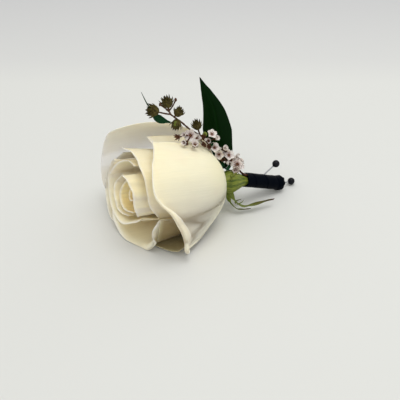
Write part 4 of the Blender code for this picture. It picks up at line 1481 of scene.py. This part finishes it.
@dataclass
class BudSprig:
    """Long filler sprig: woody twig, scaly bud heads, stalked buds, a berry, a small leaf and a needle."""

    lead: tuple[Point, ...] = (
        (8.0, 6.6, 19.0), (3.7, 10.2, 22.8), (-2.6, 10.4, 32.2), (-9.6, 9.4, 40.7), (-14.6, 9.3, 45.3),
        (-18.6, 9.0, 50.1), (-22.4, 9.0, 54.2), (-24.6, 8.5, 57.0), (-25.5, 8.5, 61.0))
    branches: tuple[tuple[Point, ...], ...] = (
        ((-24.0, 8.6, 56.2), (-27.0, 8.2, 57.6), (-31.0, 8.0, 59.6)),
        ((-24.6, 8.5, 57.4), (-26.6, 8.2, 60.0), (-29.1, 8.0, 62.8)),
        ((-24.8, 8.5, 58.6), (-22.9, 8.5, 61.0), (-21.7, 8.5, 63.5)),
        ((-22.4, 9.0, 54.2), (-21.0, 9.2, 55.8), (-20.2, 9.0, 56.6)),
        ((-20.6, 9.0, 52.4), (-21.6, 8.4, 51.2), (-22.2, 8.0, 50.6)),
        ((-9.6, 9.4, 40.7), (-10.3, 9.4, 43.2), (-11.2, 9.3, 46.4)))
    heads: tuple[tuple[Point, Point, float], ...] = (
        ((-32.6, 8.0, 60.6), (-0.9, 0.0, 0.35), 2.7), ((-25.7, 8.5, 63.0), (-0.25, 0.1, 1.0), 2.6),
        ((-20.4, 9.0, 56.4), (0.5, 0.1, 0.85), 2.2), ((-21.9, 8.0, 51.0), (-0.4, -0.4, -0.5), 2.3),
        ((-11.3, 9.3, 47.0), (-0.2, 0.1, 1.0), 2.3))
    knobs: tuple[tuple[Point, float], ...] = (
        ((-29.2, 8.0, 62.9), 0.62), ((-21.7, 8.5, 63.4), 0.62))
    berry: tuple[Point, float] = ((-22.4, 7.4, 51.6), 1.35)
    small_leaf: tuple[Point, ...] = (
        (-33.6, 8.0, 59.2), (-29.6, 7.6, 55.6), (-24.8, 7.6, 52.9))
    needle: tuple[Point, ...] = ((-33.4, 8.0, 61.4), (-35.3, 8.0, 65.0), (-37.4, 8.0, 70.8))
    cup: Profile = (
        (0.0, -1.0), (0.34, -0.98), (0.70, -0.66), (0.92, -0.15), (0.90, 0.22), (0.62, 0.40), (0.0, 0.42))
    cup_ribs: tuple[int, float] = (10, 0.05)
    whorls: tuple[Whorl, ...] = (
        Whorl(10, 0.92, -0.30, 1.15, 38.0), Whorl(9, 0.66, 0.10, 1.15, 18.0), Whorl(6, 0.36, 0.35, 0.90, 4.0))
    scale_width: float = 0.44
    stem_angle: float = 0.0
    seed: int = 11

    def head(self, piece: Piece, place: Matrix, size: float, draw: random.Random) -> None:
        """Add a bud head: a ribbed cup with whorls of pointed scales.

        Args:
            piece: where it goes.
            place: its middle and its axis.
            size: its radius.
            draw: source of its irregularities.
        """
        piece.turned(scaled(self.cup, size), place, Finish.BUD, sides=30, steps=14,
                     tone=draw.random() * 0.6, ribs=self.cup_ribs)
        for whorl in self.whorls:
            for index in range(whorl.count):
                crowding = draw.uniform(-whorl.crowding, whorl.crowding)
                out = spoke(math.tau * (index + crowding) / whorl.count)
                tilt = math.radians(whorl.lean + draw.uniform(-whorl.lean_spread, whorl.lean_spread))
                reach = whorl.length * size * draw.uniform(*whorl.lengths)
                root = out * whorl.radius * size * whorl.sunk + UP * whorl.height * size
                middle = root + (out * math.sin(tilt) + UP * math.cos(tilt)) * reach * 0.5
                tip = middle + (out * math.sin(tilt * whorl.straighten) + UP) * reach * 0.5
                points = [place @ spot for spot in (root, middle, tip)]
                facing = place.to_3x3() @ (out + UP * 0.2)
                width = size * self.scale_width
                widths = [width * 0.8, width, width * 0.7, SCALE_TIP]
                Blade(points, widths, -facing, cupping=0.2, wall=0.14, grid=(2, 5),
                      tone=draw.random()).add_to(piece, Finish.BUD)

    def build(self) -> list[bpy.types.Object]:
        """Build the sprig.

        Returns:
            The twig, the heads and the green parts.
        """
        draw = random.Random(self.seed)
        twig = Piece("bud_twig", "bud_olive", "sprig_buds")
        twig.stem(Path(*DESIGN.stem_start(self.stem_angle), *self.lead), [0.45, 0.45, 0.42, 0.40],
                  Finish.TWIG, sides=9, steps=90, tone=0.3, knots=0.5)
        for points in self.branches:
            twig.stem(Path(*points), [0.40, 0.32], Finish.TWIG, steps=14, knots=0.4)
        for spot, size in self.knobs:
            twig.ball(frame_along(spot, UP), (size, size, size * 1.5), Finish.TWIG, wobble=0.3)
        heads = Piece("bud_heads", "bud_olive", "sprig_buds")
        for spot, axis, size in self.heads:
            self.head(heads, frame_along(spot, axis, draw.uniform(0, 90)), size, draw)
        spot, size = self.berry
        heads.ball(frame_along(spot, (0.0, -0.5, 0.8)), (size, size, size * 1.1), Finish.HIP, tone=0.0,
                   detail=3, wobble=0.15)
        greens = Piece("bud_sprig_leaves", "bud_olive", "sprig_buds")
        Blade(self.small_leaf, [0.5, 2.4, 3.4, 2.7, 1.2, 0.5], (-0.3, -0.7, 0.6), cupping=0.18, wall=0.3,
              grid=(10, 30), waves=0.4).add_to(greens, Finish.SMALL_LEAF)
        greens.stem(Path(*self.needle), [0.34, 0.30, 0.22, 0.10], Finish.SMALL_LEAF, steps=24, tone=0.9)
        return [twig.finish(), heads.finish(), greens.finish()]


class Stage(Enum):
    """How far a small flower has opened: its petals' reach, their lift and how far their tips close in."""

    OPEN = (0.92, 0.30, 0.0)
    HALF = (0.85, 0.80, 0.25)
    CLOSED = (0.95, 1.25, 0.90)


@dataclass(frozen=True)
class SmallPetal:
    """One cupped petal of a small flower, along its local X axis.

    `size` is the flower's radius in millimetres and the other lengths are shares of it. `spread` is its
    half width and `lift` how far it rises. `root` is where it starts, `notch` and `cupping` shape its outer
    edge and its sides, `sunk` puts its root below the middle and `crumple` is its unevenness. Its outline is
    the part `outline` of a half wave, made blunter by the power `bluntness`, and the powers `close_late` and
    `lift_late` keep its closing and its rise for the tip.
    """

    size: float
    stage: Stage
    lift: float
    spread: float
    root: float = 0.10
    notch: float = 0.10
    cupping: float = 0.26
    sunk: float = 0.10
    crumple: float = 0.12
    outline: Flat = (0.10, 0.82)
    bluntness: float = 0.7
    close_late: float = 2.2
    lift_late: float = 1.3

    def point(self, across: float, along: float) -> Vector:
        """Point of the petal.

        Args:
            across: place across, from 0 to 1.
            along: place along, from 0 to 1.

        Returns:
            The point in the petal's own axes.
        """
        u = 2.0 * across - 1.0
        outwards, _, closing = self.stage.value
        wave = math.sin(math.pi * (self.outline[0] + self.outline[1] * along))
        half = self.spread * self.size * max(0.0, wave) ** self.bluntness
        reach = self.root + outwards * along * (1.0 - self.notch * u * u * along)
        reach -= closing * along ** self.close_late
        height = self.size * (self.lift * along ** self.lift_late + self.cupping * u * u * along - self.sunk)
        height += self.crumple * self.size * noise.noise(Vector((u * 1.7, along * 2.0, self.lift * 50.0)))
        return Vector((self.size * reach, u * half, height))


@dataclass(frozen=True)
class Blossom:
    """One small flower: its middle, its lean away from the sprig's facing, its radius and its stage.

    `stamens` is how many it has, and `filament` their height as a share of its radius.
    """

    centre: Point
    lean: Point
    size: float
    stage: Stage = Stage.OPEN
    stamens: int = 9
    filament: float = 0.30


@dataclass
class FlowerSprig:
    """Short filler sprig: a twig with small pale five-petalled flowers, closed buds and brown scales."""

    lead: tuple[Point, ...] = (
        (8.2, 3.4, 20.0), (5.4, 5.4, 24.0), (1.8, 7.0, 28.2), (-2.6, 7.6, 32.6), (-7.0, 7.4, 38.0),
        (-11.6, 6.6, 42.0), (-15.4, 5.9, 44.0))
    facing: Vector = field(default_factory=lambda: Vector((-0.29, -0.71, 0.64)))
    flowers: tuple[Blossom, ...] = (
        Blossom((-16.2, 5.0, 45.2), (0.0, 0.0, 0.0), 3.0),
        Blossom((-19.3, 4.6, 46.5), (-0.6, 0.1, 0.3), 1.7, Stage.HALF),
        Blossom((-20.7, 0.5, 45.1), (-0.6, 0.2, 0.2), 1.7, Stage.HALF),
        Blossom((-16.2, -0.5, 43.6), (0.2, 0.2, 0.5), 2.3, Stage.HALF),
        Blossom((-4.8, 6.5, 42.2), (0.4, 0.2, 0.2), 2.4),
        Blossom((-2.9, 6.0, 39.7), (0.7, 0.0, -0.1), 1.7, Stage.HALF),
        Blossom((-3.8, 5.5, 34.8), (0.3, 0.0, 0.3), 2.5),
        Blossom((-1.6, 4.8, 30.6), (-0.2, -0.3, 0.0), 2.4),
        Blossom((1.8, 6.0, 32.2), (0.5, 0.2, 0.3), 1.9, Stage.HALF),
        Blossom((4.0, 5.5, 28.3), (0.3, 0.0, 0.0), 2.6),
        Blossom((8.4, 5.5, 26.5), (0.8, 0.2, 0.3), 1.4, Stage.CLOSED),
        Blossom((7.6, 3.2, 23.2), (0.3, -0.1, 0.2), 3.7, Stage.OPEN, 30, 0.80),
        Blossom((5.6, 0.8, 22.0), (0.1, -0.3, 0.0), 2.6, Stage.HALF, 16, 0.60),
        Blossom((4.9, 5.0, 25.4), (-0.1, 0.0, 0.2), 2.3, Stage.HALF),
        Blossom((0.6, 5.6, 29.4), (0.1, 0.2, 0.3), 2.0, Stage.HALF),
        Blossom((-6.6, 6.2, 38.8), (-0.2, 0.0, 0.1), 1.9, Stage.HALF),
        Blossom((-13.4, 4.4, 43.4), (0.3, 0.0, 0.3), 2.2, Stage.HALF),
        Blossom((2.7, 3.5, 25.2), (-0.5, 0.0, 0.4), 1.3, Stage.CLOSED),
        Blossom((1.1, 3.5, 26.2), (-0.9, 0.2, 0.0), 0.8, Stage.CLOSED),
        Blossom((-1.2, 5.4, 33.4), (0.4, 0.0, 0.2), 1.2, Stage.CLOSED),
        Blossom((-8.4, 5.2, 40.8), (-0.3, 0.0, 0.1), 1.2, Stage.CLOSED),
        Blossom((3.2, 5.6, 30.8), (0.6, 0.1, 0.2), 1.2, Stage.CLOSED),
        Blossom((-12.0, 3.6, 43.4), (-0.2, -0.2, 0.5), 1.3, Stage.CLOSED),
        Blossom((6.8, 5.2, 26.4), (0.4, 0.0, 0.4), 1.3, Stage.CLOSED))
    tufts: tuple[tuple[Point, Point, float], ...] = (
        ((-21.7, 4.0, 46.4), (-0.9, -0.1, 0.2), 2.6), ((-19.3, 0.9, 44.9), (-0.8, -0.5, 0.1), 2.2),
        ((-9.7, 4.5, 42.4), (-0.4, -0.3, 0.9), 2.6), ((-11.1, 0.6, 41.6), (-0.5, -0.7, 0.5), 2.2),
        ((-7.8, 2.2, 38.6), (-0.5, -0.7, 0.4), 2.1), ((0.2, 4.4, 28.0), (-0.6, -0.6, 0.2), 1.9))
    leaves: tuple[tuple[Point, Point, float], ...] = (
        ((1.6, 4.4, 25.4), (-2.6, 2.4, 24.2), 1.5), ((4.4, 4.0, 23.4), (0.6, 1.0, 22.8), 1.6),
        ((-8.2, 6.2, 41.6), (-9.4, 5.0, 45.0), 1.3), ((-4.0, 6.6, 36.6), (-7.6, 4.2, 36.4), 1.2))
    bud: tuple[Point, float] = ((-8.8, 5.5, 43.8), 1.05)
    throat_profile: Profile = (
        (0.0, -0.16), (0.16, -0.14), (0.27, -0.02), (0.22, 0.05), (0.10, 0.0), (0.0, -0.02))
    cup_profile: Profile = (
        (0.0, -0.98), (0.14, -0.95), (0.34, -0.62), (0.44, -0.20), (0.34, -0.08), (0.0, -0.06))
    petals: int = 5
    petal_crowding: float = 0.08
    petal_lifts: Flat = (0.75, 1.25)
    petal_widths: Flat = (0.44, 0.56)
    stamen_root: float = 0.22
    stamen_lengths: Flat = (0.7, 1.2)
    fan_narrow: float = 0.175
    fan_growth: float = 0.595
    anther_least: float = 0.07
    anther_share: float = 0.04
    tuft_scales: int = 10
    tuft_rises: Flat = (0.25, 1.0)
    tuft_reaches: Flat = (0.45, 0.80)
    stem_angle: float = 36.0
    seed: int = 23

    def flower(self, piece: Piece, place: Matrix, bloom: Blossom, draw: random.Random) -> None:
        """Add a flower: five cupped petals round a dark throat with a ring of stamens.

        Args:
            piece: where it goes.
            place: its middle and the direction it faces.
            bloom: its size and how far it has opened.
            draw: source of its irregularities.
        """
        size = bloom.size
        rise = bloom.stage.value[1]
        for index in range(self.petals):
            crowding = draw.uniform(-self.petal_crowding, self.petal_crowding)
            turn = Matrix.Rotation(math.tau * (index + crowding) / self.petals, 4, "Z")
            petal = SmallPetal(size, bloom.stage, rise * draw.uniform(*self.petal_lifts),
                               draw.uniform(*self.petal_widths))

            def shape(across: float, along: float, spin: Matrix = place @ turn,
                      petal: SmallPetal = petal) -> Vector:
                """Point of one placed petal."""
                return spin @ petal.point(across, along)

            piece.patch(shape, 8, 8, Finish.BLOSSOM, tone=draw.random(), wall=0.14)
        piece.turned(scaled(self.throat_profile, size), place, Finish.CALYX, sides=16, steps=8, tone=0.2)
        if bloom.stage is Stage.CLOSED:
            return
        fan = self.fan_narrow + self.fan_growth * bloom.filament
        anther = self.anther_least + self.anther_share * size
        for index in range(bloom.stamens):
            out = spoke(math.tau * (index + draw.uniform(-0.2, 0.2)) / bloom.stamens)
            root = place @ (out * size * self.stamen_root)
            tip = place @ (out * size * fan * draw.uniform(*self.stamen_lengths)
                           + UP * size * bloom.filament * draw.uniform(*self.stamen_lengths))
            piece.stem(Path(root, root.lerp(tip, 0.5), tip), [0.06, 0.05], Finish.BLOSSOM, sides=5, steps=3,
                       tone=0.9)
            piece.ball(frame_along(tip, tip - root), [anther] * 3, Finish.CALYX, tone=0.9, detail=1)

    def cup(self, piece: Piece, place: Matrix, size: float, draw: random.Random) -> None:
        """Add the ribbed cup behind a flower, with its five short scales.

        Args:
            piece: where it goes.
            place: the flower's middle and the direction it faces.
            size: the flower's radius.
            draw: source of its irregularities.
        """
        piece.turned(scaled(self.cup_profile, size), place, Finish.CALYX, sides=20, steps=8, tone=0.6,
                     ribs=(self.petals, 0.08))
        for index in range(self.petals):
            out = spoke(math.tau * (index + 0.5 + draw.uniform(-0.1, 0.1)) / self.petals)
            points = [place @ (out * far * size - UP * low * size)
                      for far, low in ((0.34, 0.35), (0.58, 0.10), (0.80, 0.02))]
            Blade(points, [0.42 * size, 0.34 * size, 0.04], place.to_3x3() @ UP, cupping=0.1, wall=0.12,
                  grid=(2, 4), tone=draw.random()).add_to(piece, Finish.CALYX)

    def tuft(self, piece: Piece, place: Matrix, size: float, draw: random.Random) -> None:
        """Add a tuft of dry pointed scales, left where a flower has fallen.

        Args:
            piece: where it goes.
            place: its middle and its axis.
            size: how far its scales reach.
            draw: source of its irregularities.
        """
        for index in range(self.tuft_scales):
            out = spoke(math.tau * (index + draw.uniform(-0.3, 0.3)) / self.tuft_scales)
            rise = draw.uniform(*self.tuft_rises)
            far = draw.uniform(*self.tuft_reaches)
            points = [place @ (out * 0.10 * size), place @ (out * 0.6 * far * size + UP * 0.45 * rise * size),
                      place @ (out * far * size + UP * rise * size)]
            facing = place.to_3x3() @ (UP - out * 0.4)
            Blade(points, [0.26 * size, 0.40 * size, SCALE_TIP], facing, cupping=0.2, wall=0.12,
                  grid=(2, 5), tone=draw.random()).add_to(piece, Finish.CALYX)

    def stalk(self, piece: Piece, lead: Path, tip: Vector) -> None:
        """Add the short stalk from the nearest place on the twig to a flower or a leaf.

        Args:
            piece: where it goes.
            lead: the line of the twig.
            tip: where the stalk ends.
        """
        places = (lead.at(step / CURVE_STEPS) for step in range(CURVE_STEPS + 1))
        root = min(places, key=lambda item: (item - tip).length)
        middle = root.lerp(tip, 0.5) + Vector((0.0, 0.3, 0.2))
        piece.stem(Path(root, middle, tip), [0.32, 0.28], Finish.TWIG, sides=7, steps=8, tone=0.4, knots=0.3)

    def build(self) -> list[bpy.types.Object]:
        """Build the sprig.

        Returns:
            The twig with its scales, and the flowers.
        """
        draw = random.Random(self.seed)
        start = DESIGN.stem_start(self.stem_angle)
        lead = Path(start[-1], *self.lead)
        twig = Piece("flower_twig", "bud_olive", "sprig_flowers")
        twig.stem(Path(*start, *self.lead), [0.42, 0.40, 0.38], Finish.TWIG, sides=9, steps=80, tone=0.3,
                  knots=0.5)
        blooms = Piece("filler_blossoms", "blossom_white", "sprig_flowers")
        for bloom in self.flowers:
            face = (self.facing + Vector(bloom.lean)).normalized()
            place = frame_along(bloom.centre, face, draw.uniform(0.0, 72.0))
            self.flower(blooms, place, bloom, draw)
            self.cup(twig, place, bloom.size, draw)
            self.stalk(twig, lead, Vector(bloom.centre) - face * bloom.size * 0.9)
        for spot, axis, size in self.tufts:
            self.tuft(twig, frame_along(spot, axis), size, draw)
            self.stalk(twig, lead, Vector(spot))
        spot, size = self.bud
        twig.ball(frame_along(spot, self.facing), (size, size, size * 1.15), Finish.HIP, tone=0.0, detail=3,
                  wobble=0.1)
        self.stalk(twig, lead, Vector(spot))
        for root, tip, width in self.leaves:
            middle = Vector(root).lerp(Vector(tip), 0.5) + self.facing * 0.3
            Blade([root, middle, tip], [width * 0.4, width, width * 0.8, SCALE_TIP], self.facing,
                  cupping=0.2, wall=0.16, grid=(6, 12), tone=0.4).add_to(twig, Finish.SMALL_LEAF)
            self.stalk(twig, lead, Vector(root))
        return [twig.finish(), blooms.finish()]


# ---------------------------------------------------------------------------------------------------------
# Ribbon and pins
# ---------------------------------------------------------------------------------------------------------


@dataclass
class RibbonWrap:
    """Satin ribbon wound round the stems, folded over the tail end in small pleats.

    The winding is one band of `band_width` that moves on by `pitch` in each turn; `step` lifts its edge over
    the turn before, `tuck` presses its other edge in, and `slack` and `uneven` keep it from being perfect.
    The winding swells by `tail_swell` between `swell_from` and `swell_full` before the tail. The end is
    rounded over `end_round` and starts `end_lap` inside the winding.
    """

    sleeve_inset: float = 0.25
    band_width: float = 11.0
    pitch: float = 8.2
    step: float = 0.08
    tail_swell: float = 0.25
    swell_from: float = 5.6
    swell_full: float = 4.6
    pleats: int = 7
    pleat_depth: float = 0.28
    pleat_twist: float = 5.0
    wall: float = 0.12
    end_round: float = 3.0
    end_roundness: float = 0.5
    end_margin: float = 0.15
    end_lap: float = 0.6
    core_start: float = 0.35
    core_spare: float = 0.9
    inset: float = 0.30
    uneven: float = 0.10
    slack: float = 0.05
    tuck: float = 0.12
    least_height: float = 0.20

    def radius(self, position: float) -> float:
        """Outer radius of the winding.

        Args:
            position: distance from the mouth.

        Returns:
            The radius.
        """
        length = (DESIGN.tail - DESIGN.mouth).length
        swell = self.tail_swell * smooth(length - self.swell_from, length - self.swell_full, position)
        uneven = self.uneven * noise.noise(Vector((position * 0.35, 7.0, 0.0)))
        return DESIGN.wrap_radius - self.inset + swell + uneven

    def place(self, position: float, turn: float, radius: float) -> Vector:
        """Point of the wrap.

        Args:
            position: distance from the mouth.
            turn: angle round the axis in radians.
            radius: distance from the axis.

        Returns:
            The point, kept off the surface.
        """
        side = DESIGN.side()
        third = DESIGN.along().cross(side)
        spot = DESIGN.mouth + DESIGN.along() * position
        spot += (side * math.cos(turn) + third * math.sin(turn)) * radius
        spot.z = max(spot.z, self.least_height)
        return spot

    def build(self) -> list[bpy.types.Object]:
        """Build the winding and its folded end.

        Returns:
            The winding and the folded end.
        """
        length = (DESIGN.tail - DESIGN.mouth).length
        turns = (length + self.band_width * 0.4) / self.pitch

        def sleeve(u: float, v: float) -> Vector:
            """Point of the closed core under the winding.

            Args:
                u: place round it, from 0 to 1.
                v: place along it, from 0 to 1.

            Returns:
                The point.
            """
            position = self.core_start + v * (length - self.end_round - self.core_spare)
            radius = self.radius(position) - self.sleeve_inset if WELD < v < 1.0 - WELD else 0.0
            return self.place(position, u * math.tau, radius)

        def band(u: float, v: float) -> Vector:
            """Point of the wound band; the edge nearer to the mouth lies over the turn before.

            Args:
                u: place across the band, from 0 to 1.
                v: place along the band, from 0 to 1.

            Returns:
                The point.
            """
            position = v * turns * self.pitch + (u - 0.5) * self.band_width
            position = min(max(position, 0.0), length - self.end_round + 0.2)
            lift = self.step * (1.0 - u) - self.tuck * smooth(0.75, 1.0, u)
            slack = self.slack * noise.noise(Vector((v * turns * 4.0, u * 1.5, 2.0)))
            return self.place(position, v * turns * math.tau, self.radius(position) + lift + slack)

        def cap(u: float, v: float) -> Vector:
            """Point of the pleated end.

            Args:
                u: place round the end, from 0 to 1.
                v: place from its edge at 0 to its middle at 1.

            Returns:
                The point.
            """
            turn = u * math.tau
            swell = math.sin(math.pi * min(1.0, v * 1.15)) ** 0.8
            fold = math.sin(self.pleats * turn + self.pleat_twist * v) * self.pleat_depth * swell
            quarter = 0.5 * math.pi * v
            radius = 0.0
            if WELD <= v < 1.0 - WELD:
                radius = (DESIGN.wrap_radius + self.end_margin) * math.cos(quarter) ** self.end_roundness
            position = length - self.end_round - self.end_lap + self.end_round * math.sin(quarter) + fold * v
            return self.place(position, turn, max(0.0, radius + fold * (1.0 - v)))

        winding = Piece("ribbon_winding", "ribbon_navy", "ribbon_wrap")
        winding.patch(sleeve, 48, 40, Finish.RIBBON, tone=0.2, ring=True)
        winding.patch(band, 12, 300, Finish.RIBBON, wall=self.wall)
        end = Piece("ribbon_folded_end", "ribbon_navy", "ribbon_wrap")
        end.patch(cap, 108, 26, Finish.RIBBON, ring=True)
        return [winding.finish(), end.finish()]


@dataclass
class Pin:
    """Steel pin with a gloss black ball head."""

    name: str
    head: Vector
    outward: Vector
    length: float
    shaft_radius: float = 0.35
    head_radius: float = 1.9
    collar: float = 0.55
    collar_height: float = 0.12

    def build(self) -> list[bpy.types.Object]:
        """Build the shaft and the head.

        Returns:
            The shaft and the head.
        """
        tip = self.head - self.outward * self.length
        thick = self.shaft_radius
        shaft = Piece("pin_%s_wire" % self.name, "pin_steel", "pin_%s_shaft" % self.name)
        point = [(0.0, 0.0), (thick * 0.3, 0.5), (thick * 0.85, 1.8), (thick, 3.0)]
        rest = [(thick, self.length * 0.5), (thick, self.length - 1.2), (0.0, self.length - 1.0)]
        shaft.turned(point + rest, frame_along(tip, self.outward), Finish.STEEL, sides=16, steps=40)
        ball = Piece("pin_%s_ball" % self.name, "pin_black", "pin_%s_head" % self.name)
        size = self.head_radius
        low = -size - self.collar_height
        neck = [(0.0, low), (self.collar, low), (self.collar, -size * 0.97)]
        rounds = [math.radians(angle) for angle in range(-60, 90, 15)]
        side = [(size * math.cos(angle), size * math.sin(angle)) for angle in rounds]
        ball.turned(neck + side + [(0.0, size)], frame_along(self.head, self.outward), Finish.HEAD, sides=40,
                    steps=48)
        return [shaft.finish(), ball.finish()]


# ---------------------------------------------------------------------------------------------------------
# Studio
# ---------------------------------------------------------------------------------------------------------


@dataclass
class Studio:
    """Plain pale floor, soft light and the camera."""

    azimuth: float = -22.0
    elevation: float = 40.0
    distance: float = 0.300
    lens: float = 54.5
    target: Vector = Vector((-13.5, 0.0, 9.3))
    floor_half: float = 2.5
    sky: float = 0.84
    sky_colour: Colour = (1.0, 1.0, 0.985)
    lamp_power: float = 2.0
    lamp_size: float = 0.45
    lamp_place: Vector = Vector((0.10, -0.06, 0.75))

    def build(self) -> None:
        """Build the floor, the lights and the camera."""
        self.build_floor()
        self.build_lights()
        self.build_camera()

    def build_floor(self) -> None:
        """Lay the floor under the object."""
        bm = bmesh.new()
        bmesh.ops.create_grid(bm, x_segments=8, y_segments=8, size=self.floor_half)
        bmesh.ops.translate(bm, vec=(0.0, 0.0, CAD_BOX[0].z), verts=bm.verts)
        floor = in_scene("floor", to_mesh("floor", bm))
        floor.data.materials.append(Finish.FLOOR.material())

    def build_lights(self) -> None:
        """Light the scene from all round and from one soft lamp."""
        world = bpy.data.worlds.new("studio")
        world.use_nodes = True
        background = world.node_tree.nodes["Background"]
        background.inputs["Color"].default_value = (*self.sky_colour, 1.0)
        background.inputs["Strength"].default_value = self.sky
        bpy.context.scene.world = world
        lamp = bpy.data.lights.new("soft_lamp", "AREA")
        lamp.energy = self.lamp_power
        lamp.shape = "DISK"
        lamp.size = self.lamp_size
        item = in_scene("soft_lamp", lamp)
        item.location = self.lamp_place
        item.rotation_euler = self.lamp_place.to_track_quat("Z", "Y").to_euler()

    def build_camera(self) -> None:
        """Set the camera."""
        turn = math.radians(self.azimuth)
        rise = math.radians(self.elevation)
        back = Vector((math.sin(turn) * math.cos(rise), -math.cos(turn) * math.cos(rise), math.sin(rise)))
        camera = bpy.data.cameras.new("camera")
        camera.lens = self.lens
        item = in_scene("camera", camera)
        item.location = DESIGN.placing() @ self.target + back * self.distance
        item.rotation_euler = back.to_track_quat("Z", "Y").to_euler()
        bpy.context.scene.camera = item
        bpy.context.scene.view_settings.view_transform = "Standard"


def pins() -> list[Pin]:
    """The pin pushed into the side of the wrap and the one pushed into its end.

    Returns:
        The two pins.
    """
    middle = DESIGN.mouth + DESIGN.along() * DESIGN.side_pin_at
    entry = middle + DESIGN.side_pin_entry * DESIGN.wrap_radius * 0.9
    side_outward = (DESIGN.side_head - entry).normalized()
    return [Pin("side", DESIGN.side_head, side_outward, DESIGN.side_pin_length),
            Pin("end", *DESIGN.end_pin(), DESIGN.end_pin_length)]


def main() -> None:
    """Build the boutonniere and its studio."""
    logging.basicConfig(level=logging.INFO, format="%(message)s")
    Studio().build()
    for assembly in (RoseBloom(), RoseHip(), BackingLeaf(), BudSprig(), FlowerSprig(), RibbonWrap(), *pins()):
        for item in assembly.build():
            LOG.info("%s: %d faces", item.name, len(item.data.polygons))


if __name__ == "__main__":
    main()
